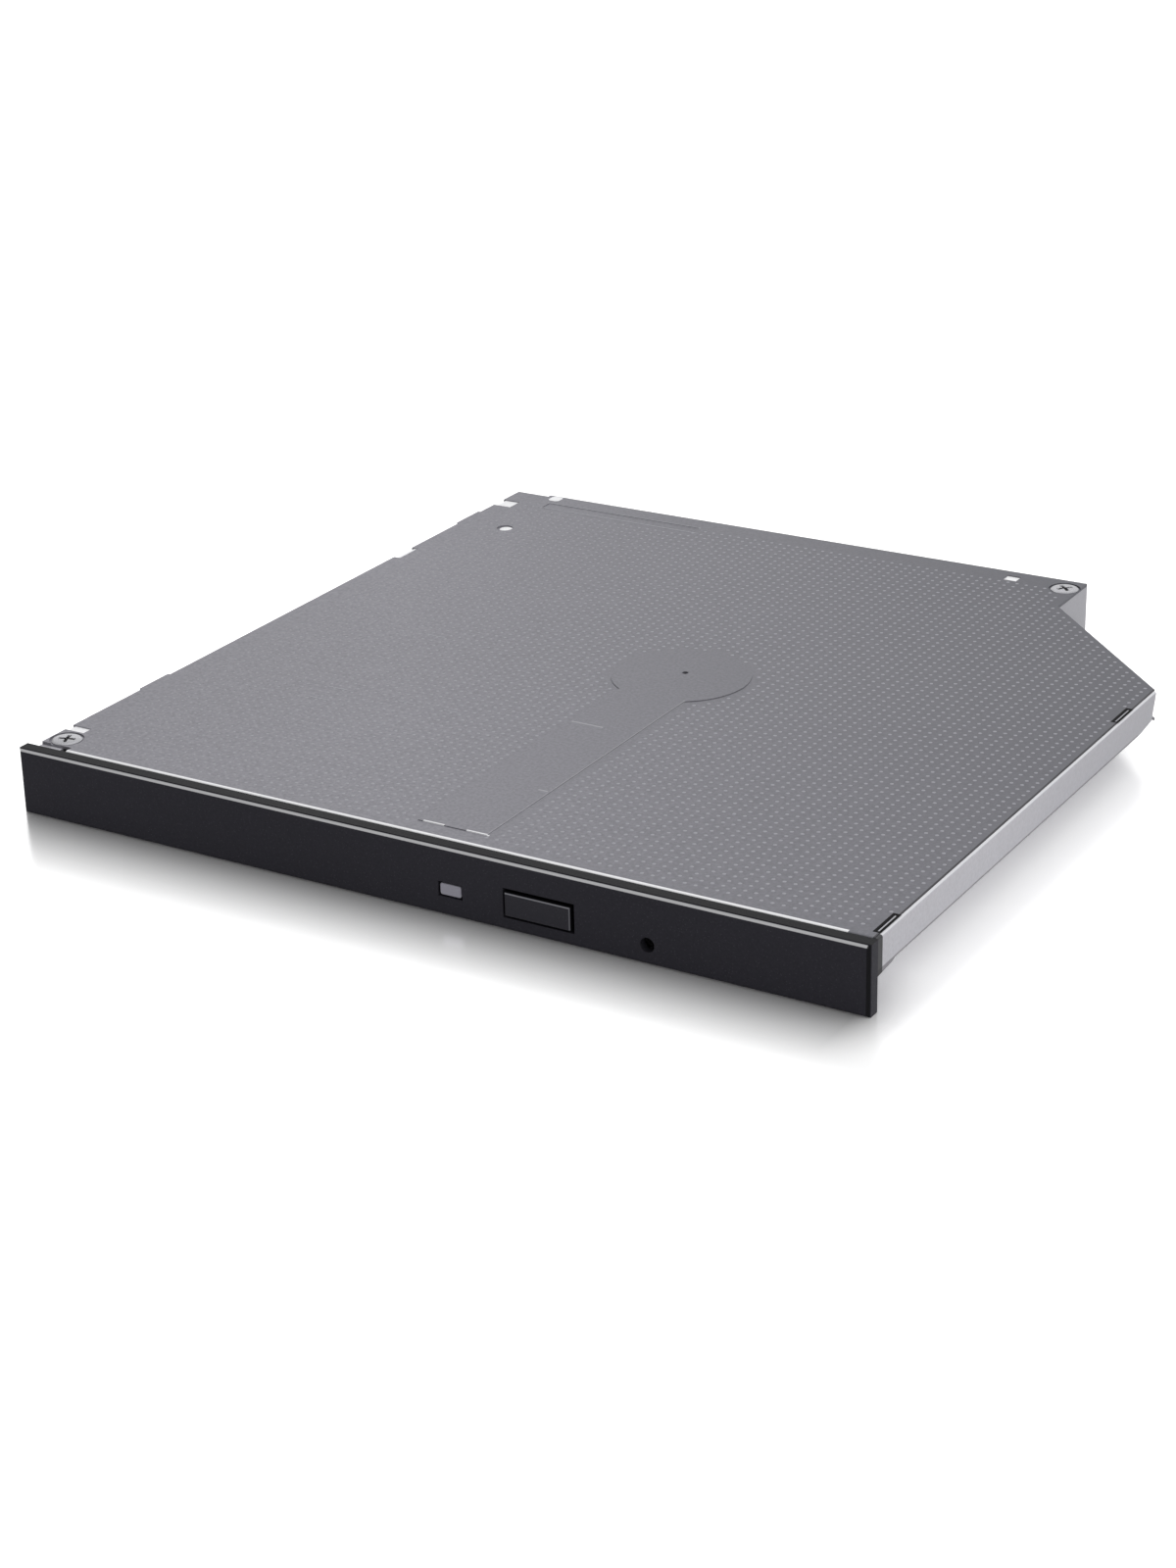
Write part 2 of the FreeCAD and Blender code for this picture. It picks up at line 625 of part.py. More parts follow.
def rear_electronics():
    """Board at the rear left of the case with the combined data and power plug."""
    board = Piece("connector_board")
    board.add("XY", "0.6", "0.6 + board_thickness",
              box("left_in + 0.6", "socket_right - 1.5", "socket_front + 3", "rear_in - 0.4"))
    plug_edges = ("plug_x - plug_width / 2", "plug_x + plug_width / 2")
    back = "0.6 + board_thickness"
    plug = Piece("rear_plug")
    plug.add("XY", back, "plug_low + plug_height", box(*plug_edges, "rear - plug_depth", "rear"))
    # recess with the two contact tongues: the long one for power, the short one for data
    plug.cut("XZ", "rear - plug_depth + 2", "rear",
             box(f"{plug_edges[0]} + 0.8", f"{plug_edges[1]} - 0.8", "plug_low + 0.7",
                 "plug_low + plug_height - 0.7"))
    plug.add("XZ", "rear - plug_depth + 2", "rear - 0.6",
             box("plug_x - plug_width * 0.42", "plug_x + plug_width * 0.02",
                 "plug_low + 1.3", "plug_low + 2.5"))
    plug.add("XZ", "rear - plug_depth + 2", "rear - 0.6",
             box("plug_x + plug_width * 0.1", "plug_x + plug_width * 0.42",
                 "plug_low + 1.3", "plug_low + 2.5"))
    contacts = Piece("plug_contacts")
    for first, count in (("-0.4", 7), ("0.12", 6)):
        for number in range(count):
            middle = f"plug_x + plug_width * {first} + {number} * 1.27 + 0.5"
            contacts.add("XY", "plug_low + 2.5", "plug_low + 2.7",
                         box(f"{middle} - 0.4", f"{middle} + 0.4", "rear - plug_depth + 2",
                             "rear - 1.4"))
    socket = Piece("rear_flex_socket")
    socket.add("XY", "pan_thickness + 0.02", "1.8",
               box("flex_x_low - 1", "flex_x_high + 1", "socket_front + 0.9", "socket_front + 3"))
    return board, plug, contacts, socket


PLACES["flex_x_low"] = "skirt_left + flex_left"
PLACES["flex_x_high"] = "flex_x_low + flex_width"
PLACES["flex_low"] = "pan_thickness + 0.03"
PLACES["flex_high"] = "flex_low + flex_loop"
PLACES["flex_rear"] = "socket_front + 0.9"
PLACES["flex_end"] = "board_rear - 3"


def flat_flex():
    """Flat cable folded under the tray: along the floor, round and back to the tray's board."""
    flex = Piece("flat_flex")
    middle = "(flex_low + flex_high) / 2"
    radius = "(flex_high - flex_low) / 2"
    across = ("flex_x_low", "flex_x_high")
    flex.add("YZ", *across, disc("flex_bend", middle, radius))
    flex.add("YZ", *across, box("flex_bend", "flex_rear", "flex_low", "flex_high"))
    flex.cut("YZ", *across, disc("flex_bend", middle, f"{radius} - flex_thickness"))
    flex.cut("YZ", *across, box("flex_bend", "flex_rear", "flex_low + flex_thickness",
                                "flex_high - flex_thickness"))
    flex.cut("YZ", *across, box("flex_end", "flex_rear", "flex_low + 2 * flex_thickness", "flex_high"))
    return flex


def latch_post():
    """Riveted post on the case floor that the latch lever holds."""
    post = Piece("latch_post")
    centre = ("step_in - 1", "post_y")
    post.add("XY", "pan_thickness", "lever_high + 0.5", disc(*centre, "post_radius"))
    post.add("XY", "0", "pan_thickness", disc(*centre, "post_radius / 2"))
    return post


# Tray and its front panel

def tray():
    """Moulded tray: disc well on top, rail grooves in its edges, skirts round the deep part."""
    part = Piece("tray_moulding")
    cut_line = lambda x: f"tray_cut - ({x})"
    lip_right = "right_in - lip_edge"
    part.add("XY", "tray_low", "ledge_floor",
             [("skirt_left", "panel_depth"), (lip_right, "panel_depth"),
              (lip_right, cut_line(lip_right)), ("tray_corner", cut_line("tray_corner")),
              ("tray_corner", "rear_in - 5.1"), ("tray_corner - 4.2", "rear_in - 5.1"),
              ("tray_corner - 4.2", "tray_rear"), ("skirt_left", "tray_rear")])
    part.add("XY", "ledge_floor", "tray_top",
             [("tray_left", "panel_depth"), ("tray_right", "panel_depth"),
              ("tray_right", cut_line("tray_right")), ("tray_corner", cut_line("tray_corner")),
              ("tray_corner", "rear_in - 5.1"), ("tray_corner - 4.2", "rear_in - 5.1"),
              ("tray_corner - 4.2", "tray_rear"), ("tray_left", "tray_rear")])
    # skirts round the deep section
    outer = [("skirt_left", "panel_depth"), ("skirt_right", "panel_depth"),
             ("skirt_right", "deep_rear"), ("socket_right", "deep_rear"),
             ("socket_right", "socket_front"), ("skirt_left", "socket_front")]
    wall = "skirt_thickness"
    inner = [(f"skirt_left + {wall}", f"panel_depth + {wall}"),
             (f"skirt_right - {wall}", f"panel_depth + {wall}"),
             (f"skirt_right - {wall}", f"deep_rear - {wall}"),
             (f"socket_right + {wall}", f"deep_rear - {wall}"),
             (f"socket_right + {wall}", f"socket_front - {wall}"),
             (f"skirt_left + {wall}", f"socket_front - {wall}")]
    part.add("XY", "skirt_low", "tray_low", outer, inner)
    # bosses: dampers, lever pin, board screws, ejector tunnel
    for point in DAMPERS:
        part.add("XY", "mech_plate_low + damper_height / 2 + 0.9", "tray_low",
                 disc(*turned(*point), "damper_radius - 0.5"))
    for point in BOARD_SCREWS:
        part.add("XY", "board_high", "tray_low", disc(*point, "screw_head - 0.3"))
    tunnel = "ejector_radius + 1.3"
    part.add("XY", "ejector_z - ejector_radius - 0.45", "tray_low",
             box(f"ejector_x - ({tunnel})", f"ejector_x + {tunnel}", "spring_front - 1.2", "deep_rear"))
    # disc well in three steps
    part.cut("XY", "ledge_floor", "tray_top", disc("spindle_x", "spindle_y", "well_radius"))
    part.cut("XY", "well_floor", "ledge_floor", disc("spindle_x", "spindle_y", "well_radius - ledge_width"))
    part.cut("XY", "deck_top", "well_floor", disc("spindle_x", "spindle_y", "small_disc_radius"))
    # window over the mechanism, with a ledge that carries the deck plate
    ledge = [turned(*point) for point in mech_outline("window_margin - window_ledge")]
    opening = [turned(*point) for point in mech_outline("window_margin")]
    part.cut("XY", "deck_low", "ledge_floor", ledge)
    part.cut("XY", "tray_low", "deck_low", opening)
    # rail grooves
    part.cut("XZ", "panel_depth", "rear",
             box("left_in", "left_in + groove_depth", "groove_low", "groove_high"),
             box("right_in - groove_depth", "right_in", "groove_low", "groove_high"))
    # holes in the front wall for the button stem, the lamp and the release pin
    stem = "button_stem / 2 + 0.3"
    lamp = ("lamp_width / 2 + lamp_gap", "lamp_height / 2 + lamp_gap")
    part.cut("XZ", "panel_depth", f"panel_depth + {wall}",
             box(f"button_x - ({stem})", f"button_x + {stem}", "button_z - 1.1", "button_z + 1.1"),
             box(f"lamp_x - ({lamp[0]})", f"lamp_x + {lamp[0]}", f"lamp_z - ({lamp[1]})",
                 f"lamp_z + {lamp[1]}"),
             disc("release_x", "release_z", "release_radius"))
    # slot in the right skirt for the latch hook
    part.cut("YZ", f"skirt_right - {wall}", "skirt_right",
             box("post_y - 0.6", "post_y + 4.4", "lever_low - 0.4", "lever_high + 0.4"))
    # bores
    part.cut("XZ", "spring_front", "deep_rear",
             disc("ejector_x", "ejector_z", "ejector_radius + ejector_play"))
    for point in DAMPERS:
        part.cut("XY", "mech_plate_low + damper_height / 2 + 0.9", "tray_low",
                 disc(*turned(*point), "damper_screw + 0.05"))
    for point in BOARD_SCREWS:
        part.cut("XY", "board_high", "board_high + 1.6", disc(*point, "screw_shank + 0.05"))
    return part


def front_panel():
    """Front panel clipped to the tray: plate with a rim, windows for button, lamp and pin."""
    panel = Piece("front_panel")
    edge = "overall_width / 2"
    panel.add("XZ", "0", "panel_depth", box(f"-{edge}", edge, "0", "overall_height"))
    panel.cut("XZ", "panel_plate", "panel_depth",
              box(f"-{edge} + panel_rim", f"{edge} - panel_rim", "panel_rim",
                  "overall_height - panel_rim"))
    # pads that carry the panel on the tray's front wall
    for low, high in (("skirt_left + 1", "skirt_left + 13"), ("button_x + 8.15", "button_x + 13.15"),
                      ("skirt_left + 44", "skirt_left + 56"), ("tray_right - 16", "tray_right - 4")):
        panel.add("XZ", "panel_plate", "panel_depth", box(low, high, "tray_low", "tray_top"))
    gap = "button_gap"
    panel.bevel("panel_chamfer", lambda edge_found: on_front(edge_found))
    panel.cut("XZ", "0", "panel_plate",
              box(f"button_x - button_width / 2 - {gap}", f"button_x + button_width / 2 + {gap}",
                  f"button_z - button_height / 2 - {gap}", f"button_z + button_height / 2 + {gap}"),
              box("lamp_x - lamp_width / 2 - lamp_gap", "lamp_x + lamp_width / 2 + lamp_gap",
                  "lamp_z - lamp_height / 2 - lamp_gap", "lamp_z + lamp_height / 2 + lamp_gap"),
              disc("release_x", "release_z", "release_radius"))
    return panel


def on_front(edge):
    """True for a straight edge that lies in the drawn plane y = 0."""
    return all(abs(vertex.Point.y) < 1e-6 for vertex in edge.Vertexes)


def eject_button():
    """Button cap with its retaining flange and the stem that presses the switch."""
    button = Piece("eject_button")
    half = ("button_width / 2", "button_height / 2")
    flange = "panel_plate + 0.05"
    button.add("XZ", "-button_proud", flange,
               box(f"button_x - {half[0]}", f"button_x + {half[0]}", f"button_z - {half[1]}",
                   f"button_z + {half[1]}"))
    button.bevel("button_height * 0.06", lambda edge: all(
        abs(vertex.Point.y + SIZES["button_proud"]) < 1e-6 for vertex in edge.Vertexes), "Fillet")
    button.add("XZ", flange, f"{flange} + button_flange",
               box(f"button_x - {half[0]} - 0.8", f"button_x + {half[0]} + 0.8",
                   f"button_z - {half[1]} - 0.7", f"button_z + {half[1]} + 0.7"))
    button.add("XZ", f"{flange} + button_flange", "switch_front - 0.05",
               box("button_x - button_stem / 2", "button_x + button_stem / 2",
                   "button_z - 0.8", "button_z + 0.8"))
    return button


PLACES["switch_front"] = "panel_depth + skirt_thickness + 1.4"
PLACES["front_board_low"] = "board_low - 0.2"
PLACES["front_board_high"] = "front_board_low + board_thickness"


def front_electronics():
    """Small board behind the panel: lamp, light pipe, push switch."""
    pipe = Piece("lamp_lens")
    half = ("lamp_width / 2", "lamp_height / 2")
    pipe.add("XZ", "0", "panel_depth + skirt_thickness + 0.2",
             box(f"lamp_x - {half[0]}", f"lamp_x + {half[0]}", f"lamp_z - {half[1]}",
                 f"lamp_z + {half[1]}"))
    lamp = Piece("lamp")
    lamp.add("XY", "front_board_high", "front_board_high + 1.2",
             box("lamp_x - 0.8", "lamp_x + 0.8", "panel_depth + skirt_thickness + 0.5",
                 "panel_depth + skirt_thickness + 1.6"))
    board = Piece("front_board")
    board.add("XY", "front_board_low", "front_board_high",
              box("lamp_x - 3", "button_x + 7", "panel_depth + skirt_thickness + 0.2",
                  "panel_depth + skirt_thickness + 7.8"))
    switch = Piece("eject_switch")
    switch.add("XY", "front_board_high", "button_z + 1.2",
               box("button_x - 2.2", "button_x + 2.2", "switch_front + 0.6", "switch_front + 3.8"))
    switch.cut("XZ", "switch_front + 0.6", "switch_front + 2.2",
               box("button_x - 0.8", "button_x + 0.8", "button_z - 0.7", "button_z + 0.7"))
    stem = Piece("switch_plunger")
    stem.add("XZ", "switch_front", "switch_front + 1.5",
             box("button_x - 0.7", "button_x + 0.7", "button_z - 0.6", "button_z + 0.6"))
    return pipe, lamp, board, switch, stem


BOARD_SCREWS = (("board_left + 3.4", "board_rear - 27"), ("ejector_x - 14", "board_rear - 4"))
DAMPERS = (("-6", "-mech_motor_side - 2"), ("-6", "mech_free_side + 2"), ("mech_outer + 2.2", "-1"))


def main_board():
    """Control board under the tray with its chips and flat-cable sockets."""
    board = Piece("main_board")
    right_edge = "ejector_x - 5.5"
    outline = [("board_left", "board_front"), ("column_right", "board_front"),
               ("column_right", "strip_front"), (right_edge, "strip_front"),
               (right_edge, "board_rear"), ("board_left", "board_rear")]
    holes = [disc(*point, "screw_shank + 0.1") for point in BOARD_SCREWS]
    board.add("XY", "board_low", "board_high", outline, *holes)
    chips = Piece("board_chips")
    for edges in (("board_left + 6.5", "column_right - 3.5", "board_rear - 23.5", "board_rear - 10.5"),
                  ("board_left + 6.5", "column_right - 8.5", "board_front + 2", "board_front + 12"),
                  ("column_right - 5.5", "column_right - 1.5", "board_front + 3.5", "board_front + 8.5"),
                  ("column_right + 6.5", "column_right + 15.5", "strip_front + 1.75",
                   "board_rear - 1.75"),
                  ("column_right + 23.5", "column_right + 30.5", "strip_front + 2.5",
                   "board_rear - 2.5")):
        chips.add("XY", "board_high", "board_high + chip_height", box(*edges))
    sockets = Piece("flex_sockets")
    sockets.add("XY", "flex_high - flex_thickness", "board_low",
                box("flex_x_low - 1", "flex_x_high + 1", "flex_end", "flex_end + 2.2"))
    sockets.add("XY", "skirt_low + flex_thickness + 0.02", "board_low",
                box(f"{right_edge} - 2.6", f"{right_edge} - 0.4", "board_rear - 10", "board_rear - 5"))
    sockets.add("XY", "skirt_low + flex_thickness + 0.02", "front_board_low",
                box("button_x + 3.6", "button_x + 6.4", "panel_depth + skirt_thickness + 2",
                    "panel_depth + skirt_thickness + 6.6"))
    screws = Piece("board_screws")
    for point in BOARD_SCREWS:
        screws.add("XY", "board_low - 0.5", "board_low", disc(*point, "screw_head - 0.4"))
        screws.add("XY", "board_low", "board_high + 1.4", disc(*point, "screw_shank"))
    return board, chips, sockets, screws


def front_flex():
    """Flat cable on the shield, from the front board to the control board."""
    flex = Piece("front_flex")
    near = "skirt_right - skirt_thickness - 5.4"
    far = "skirt_right - skirt_thickness - 1.4"
    flex.add("XY", "skirt_low", "skirt_low + flex_thickness",
             [("button_x + 3.6", "panel_depth + skirt_thickness + 2"),
              (far, "panel_depth + skirt_thickness + 2"), (far, "board_rear - 5"),
              ("ejector_x - 8.1", "board_rear - 5"), ("ejector_x - 8.1", "board_rear - 9"),
              (near, "board_rear - 9"), (near, "panel_depth + skirt_thickness + 6"),
              ("button_x + 3.6", "panel_depth + skirt_thickness + 6")])
    return flex


def tray_shield():
    """Thin steel sheet that closes the underside of the tray's deep section."""
    shield = Piece("tray_shield")
    slot = [("flex_x_low - 1.6", "flex_end - 3.4"), ("flex_x_high + 1.6", "flex_end - 3.4"),
            ("flex_x_high + 1.6", "flex_end + 2.8"), ("flex_x_low - 1.6", "flex_end + 2.8")]
    shield.add("XY", "shield_low", "skirt_low",
               [("skirt_left", "panel_depth + 0.1"), ("skirt_right", "panel_depth + 0.1"),
                ("skirt_right", "deep_rear"), ("socket_right", "deep_rear"),
                ("socket_right", "socket_front"), ("skirt_left", "socket_front")], slot)
    return shield


# Pick-up mechanism, in its own axes

def mech_frame():
    """Steel frame that carries motor, rods and screw, hung on three rubber dampers."""
    frame = Piece("mechanism_frame", mechanism=True)
    frame.add("XY", "mech_plate_low", "mech_high", mech_outline("0"))
    for u, v in DAMPERS:
        side = "1" if v.startswith("-mech") else "-1"
        if u.startswith("mech"):
            web = box(f"{u} - 4", u, f"{v} - damper_radius", f"{v} + damper_radius")
        else:
            low, high = (v, f"{v} + 4") if side == "1" else (f"{v} - 4", v)
            web = box(f"{u} - damper_radius", f"{u} + damper_radius", low, high)
        frame.add("XY", "mech_plate_low", "mech_high", web)
        frame.add("XY", "mech_plate_low", "mech_high", disc(u, v, "damper_radius + 0.8"))
    rod_span = "rod_radius + rod_wall"
    for u in ("bay_inner - 3.6", "bay_outer"):
        for v in ("-rod_offset", "rod_offset"):
            frame.add("XY", "rod_height - rod_radius - 0.7", "rod_height + rod_radius + 0.7",
                      box(u, f"{u} + 2.6", f"{v} - ({rod_span})", f"{v} + {rod_span}"))
    screw_end = "bay_outer - 6"
    frame.add("XY", "rod_height - lead_radius - 0.7", "rod_height + lead_radius + 0.7",
              box(screw_end, f"{screw_end} + 2", "-screw_offset - 1.8", "-screw_offset + 1.5"))
    frame.cut("XY", "mech_plate_low", "mech_high",
              box("bay_inner - 1", "bay_outer", "-rod_offset + rod_radius + 1",
                  "rod_offset - rod_radius - 1"))
    for v, inner, outer in (("rod_offset", "rod_radius + 1", "rod_radius + 0.4"),
                            ("-rod_offset", "rod_radius + 1.1", "rod_radius + 1")):
        frame.cut("XY", "mech_plate_low", "mech_high",
                  box("bay_inner - 1", "bay_outer", f"{v} - ({inner})", f"{v} + {outer}"))
    frame.cut("XY", "mech_plate_low", "mech_high",
              box("bay_inner - 1", screw_end, "-screw_offset - lead_radius - 0.6",
                  "-rod_offset - rod_radius"))
    frame.cut("XY", "mech_plate_low", "mech_high", disc("0", "0", "motor_radius + 0.6"))
    # seat of the stepper motor
    frame.cut("XY", "mech_plate_low", "mech_high",
              box("stepper_start - 0.2", "stepper_start + stepper_length + 0.6",
                  "-screw_offset - stepper_radius - 0.1", "-screw_offset + stepper_radius + 0.1"))
    for v in ("-rod_offset", "rod_offset"):
        frame.cut("YZ", "bay_inner - 3.6", "mech_outer", disc(v, "rod_height", "rod_radius + 0.02"))
    frame.cut("YZ", screw_end, f"{screw_end} + 2",
              disc("-screw_offset", "rod_height", "lead_end_radius + shaft_play"))
    for u, v in DAMPERS:
        frame.cut("XY", "mech_plate_low", "mech_high", disc(u, v, "damper_radius - 0.7"))
    return frame


PLACES["stepper_start"] = "bay_inner - stepper_length - 1.4"
PLACES["lead_end_radius"] = "lead_radius - 0.35"


def dampers():
    """Three grooved rubber grommets and their shouldered screws."""
    rubber = Piece("rubber_dampers", mechanism=True)
    screws = Piece("damper_screws", mechanism=True)
    low = "mech_plate_low - damper_height / 2 + 0.3"
    high = "mech_plate_low + damper_height / 2 + 0.9"
    for u, v in DAMPERS:
        rubber.add("XY", low, "mech_plate_low", disc(u, v, "damper_radius"),
                   disc(u, v, "damper_screw + 0.1"))
        rubber.add("XY", "mech_plate_low", "mech_high", disc(u, v, "damper_radius - 0.7"),
                   disc(u, v, "damper_screw + 0.1"))
        rubber.add("XY", "mech_high", high, disc(u, v, "damper_radius"),
                   disc(u, v, "damper_screw + 0.1"))
        screws.add("XY", f"{low} - 0.5", low, disc(u, v, "damper_radius - 0.3"))
        screws.add("XY", low, "tray_low - 0.1", disc(u, v, "damper_screw"))
    return rubber, screws


def spindle_motor():
    """Motor: base plate, bearing, wound core; the rotor turns on the bearing."""
    plate = Piece("motor_plate", mechanism=True)
    plate.add("XY", "mech_plate_low - 0.5", "mech_plate_low",
              box("-mech_inner + 2", "bay_inner - 1.6", "-rod_offset + 2.2", "rod_offset - 2.2"))
    plate.cut("XY", "mech_plate_low - 0.5", "mech_plate_low",
              disc("0", "0", "bearing_radius - 0.4"))
    bearing = Piece("spindle_bearing", mechanism=True)
    bearing.turn([("shaft_radius + shaft_play", "mech_plate_low - 0.5"),
                  ("bearing_radius - 0.42", "mech_plate_low - 0.5"),
                  ("bearing_radius - 0.42", "mech_plate_low"), ("bearing_radius", "mech_plate_low"),
                  ("bearing_radius", "rotor_high - rotor_wall - 0.4"),
                  ("shaft_radius + shaft_play", "rotor_high - rotor_wall - 0.4")])
    core = Piece("motor_core", mechanism=True)
    core_top = "rotor_high - rotor_wall - 0.9"
    core_low = "mech_plate_low + 0.3"
    core.add("XY", "mech_plate_low", core_top, disc("0", "0", "bearing_radius + 2"),
             disc("0", "0", "bearing_radius + 0.02"))
    for number in range(9):
        turn = f"{number * 40} * 1 deg"
        along = (f"cos({turn})", f"sin({turn})")
        for near, far, half in (("bearing_radius + 1.8", "motor_radius - 2.6", "0.9"),
                                ("motor_radius - 2.7", "motor_radius - 1.7", "2.2")):
            corners = [(f"({r}) * {along[0]} - ({w}) * {along[1]}",
                        f"({r}) * {along[1]} + ({w}) * {along[0]}")
                       for r, w in ((near, f"-{half}"), (far, f"-{half}"), (far, half), (near, half))]
            core.add("XY", core_low, core_top, corners)
    return plate, bearing, core


def rotor():
    """Rotor cup with its shaft, the rubber seat for the disc and the hub with its claws."""
    cup = Piece("rotor", mechanism=True)
    cup.turn([("0", "mech_plate_low - 0.3"), ("shaft_radius", "mech_plate_low - 0.3"),
              ("shaft_radius", "rotor_high - rotor_wall"),
              ("motor_radius - rotor_wall", "rotor_high - rotor_wall"),
              ("motor_radius - rotor_wall", "rotor_low"), ("motor_radius", "rotor_low"),
              ("motor_radius", "rotor_high"), ("0", "rotor_high")])
    ring = Piece("disc_seat_ring", mechanism=True)
    ring.turn([("motor_radius - 0.4 - ring_width", "rotor_high"), ("motor_radius - 0.4", "rotor_high"),
               ("motor_radius - 0.4", "disc_low"), ("motor_radius - 0.4 - ring_width", "disc_low")])
    hub = Piece("hub", mechanism=True)
    hub.turn([("0", "rotor_high"), ("motor_radius - 0.8 - ring_width", "rotor_high"),
              ("motor_radius - 0.8 - ring_width", "rotor_high + 0.3"),
              ("hub_radius", "rotor_high + 0.3"), ("hub_radius", "disc_low + disc_thickness * 0.7"),
              ("hub_radius - 0.6", "tray_top + 0.15"), ("4.4", "cover_low"), ("0", "cover_low")])
    for number in range(3):
        hub.cut("XY", "rotor_high + 0.3", "cover_low", claw_plan(number, "claw_inner", "hub_radius + 0.2",
                                                                 "claw_half + 0.15"))
    hub.cut("XY", "tray_top - 0.3", "cover_low", disc("0", "0", "1.2"))
    return cup, ring, hub


PLACES["claw_inner"] = "hub_radius - 3.6"
PLACES["claw_half"] = "hub_radius * 0.23"


def claw_plan(number, near, far, half):
    """A rectangle that points outwards from the hub's axis, at a third of a turn each."""
    turn = f"{60 + number * 120} * 1 deg"
    along = (f"cos({turn})", f"sin({turn})")
    return [(f"({r}) * {along[0]} - ({w}) * {along[1]}", f"({r}) * {along[1]} + ({w}) * {along[0]}")
            for r, w in ((near, f"-({half})"), (far, f"-({half})"), (far, half), (near, half))]


def hub_claws():
    """Three spring claws that snap over the edge of the disc's hole."""
    claws = []
    for number in range(3):
        claw = Piece(f"hub_claw_{number + 1}", mechanism=True)
        low = "rotor_high + 0.4"
        claw.add("XY", low, "disc_low + disc_thickness + 0.1",
                 claw_plan(number, "claw_inner + 0.9", "hub_radius - 0.1", "claw_half"))
        claw.add("XY", "disc_low + disc_thickness - 0.3", "disc_low + disc_thickness + 0.3",
                 claw_plan(number, "claw_inner + 0.9", "hub_radius + 0.15", "claw_half"))
        claws.append(claw)
    return claws


def guide_rods():
    """Two steel rods on which the pick-up slides."""
    rods = []
    for name, v in (("guide_rod_main", "-rod_offset"), ("guide_rod_second", "rod_offset")):
        rod = Piece(name, mechanism=True)
        rod.add("YZ", "bay_inner - 3.4", "bay_outer + 2.4", disc(v, "rod_height", "rod_radius"))
        rods.append(rod)
    return rods


def sled_drive():
    """Stepper motor with the lead screw that moves the pick-up."""
    stepper = Piece("stepper_motor", mechanism=True)
    stepper.add("YZ", "stepper_start", "stepper_start + stepper_length",
                disc("-screw_offset", "rod_height", "stepper_radius"))
    stepper.cut("YZ", "stepper_start + stepper_length - 2", "stepper_start + stepper_length",
                disc("-screw_offset", "rod_height", "lead_radius + 0.1"))
    screw = Piece("lead_screw", mechanism=True)
    screw.add("YZ", "stepper_start + stepper_length - 1.8", "bay_outer - 6.2",
              disc("-screw_offset", "rod_height", "lead_radius"))
    screw.add("YZ", "bay_outer - 6.2", "bay_outer - 4.2",
              disc("-screw_offset", "rod_height", "lead_end_radius"))
    return stepper, screw


def pickup():
    """Pick-up sled on the rods, its drive nut, the magnet yoke and the sprung lens holder."""
    sled = Piece("pickup_sled", mechanism=True)
    inward = "lens_inner - sled_inward"
    outward = "lens_inner + sled_outward"
    block = "rod_radius + 0.9"
    sled.add("XY", "sled_low", "sled_high",
             box(inward, outward, f"-rod_offset - ({block})", "rod_offset - rod_radius - 0.6"))
    sled.add("XY", "rod_height - rod_radius - 0.8", "rod_height + rod_radius + 0.7",
             box("lens_inner - 2", "lens_inner + 2", "rod_offset - rod_radius - 0.6",
                 "rod_offset + rod_radius - 0.2"))
    sled.cut("YZ", "lens_inner - 2", "lens_inner + 2",
             box("rod_offset - rod_radius - 0.2", "rod_offset + rod_radius",
                 "rod_height - rod_radius - 0.06", "rod_height + rod_radius + 0.06"))
    sled.cut("YZ", inward, outward, disc("-rod_offset", "rod_height", "rod_radius + shaft_play"))
    sled.cut("XY", "sled_high - 2", "sled_high",
             box("lens_inner - lens_bay + 0.6", "lens_inner + lens_bay - 1.2", "-lens_bay", "lens_bay"))
    nut = Piece("drive_nut", mechanism=True)
    nut.add("XY", "rod_height + lead_radius + 0.1", "sled_high",
            box(f"{inward} + 1", f"{inward} + 5.8", "-screw_offset - lead_radius",
                f"-rod_offset - ({block})"))
    yoke = Piece("magnet_yoke", mechanism=True)
    bay_floor = "sled_high - 2"
    yoke.add("XY", bay_floor, f"{bay_floor} + 0.3",
             box("lens_inner - holder_size", "lens_inner + holder_size", "-lens_bay + 0.2", "lens_bay - 0.2"))
    for v in ("-lens_bay + 0.2", "lens_bay - 1"):
        yoke.add("XY", bay_floor, "sled_high + 0.2",
                 box("lens_inner - holder_size + 1", "lens_inner + holder_size - 1", v, f"{v} + 0.8"))
    holder = Piece("lens_holder", mechanism=True)
    holder_low = f"{bay_floor} + 0.8"
    holder.add("XY", holder_low, "deck_top - 0.15",
               box("lens_inner - holder_size", "lens_inner + holder_size",
                   "-lens_bay + 1.4", "lens_bay - 1.4"))
    holder.cut("XY", holder_low, "deck_top", disc("lens_inner", "0", "lens_radius"))
    lens = Piece("objective_lens", mechanism=True)
    lens.place(*[f"({text})" for text in turned("lens_inner", "0")], "0")
    lens.turn([("0", "deck_top - 1.2"), ("lens_radius - 0.02", "deck_top - 1"),
               ("lens_radius - 0.02", "deck_top - 0.3"), ("lens_radius * 0.7", "deck_top - 0.02"),
               ("lens_radius * 0.35", "deck_top + 0.08"), ("0", "deck_top + 0.1")])
    return sled, nut, yoke, holder, lens


def deck():
    """Thin metal deck over the mechanism, open at the rotor and along the lens's way."""
    plate = Piece("mechanism_deck", mechanism=True)
    plate.add("XY", "deck_low", "deck_top", mech_outline("window_margin - window_ledge + deck_gap"))
    plate.cut("XY", "deck_low", "deck_top",
              box("motor_radius", "bay_outer - 0.4", "-lens_bay + 0.7", "lens_bay - 0.7"))
    plate.cut("XY", "deck_low", "deck_top", disc("0", "0", "motor_radius + motor_gap"))
    return plate


# Latch, solenoid and ejector

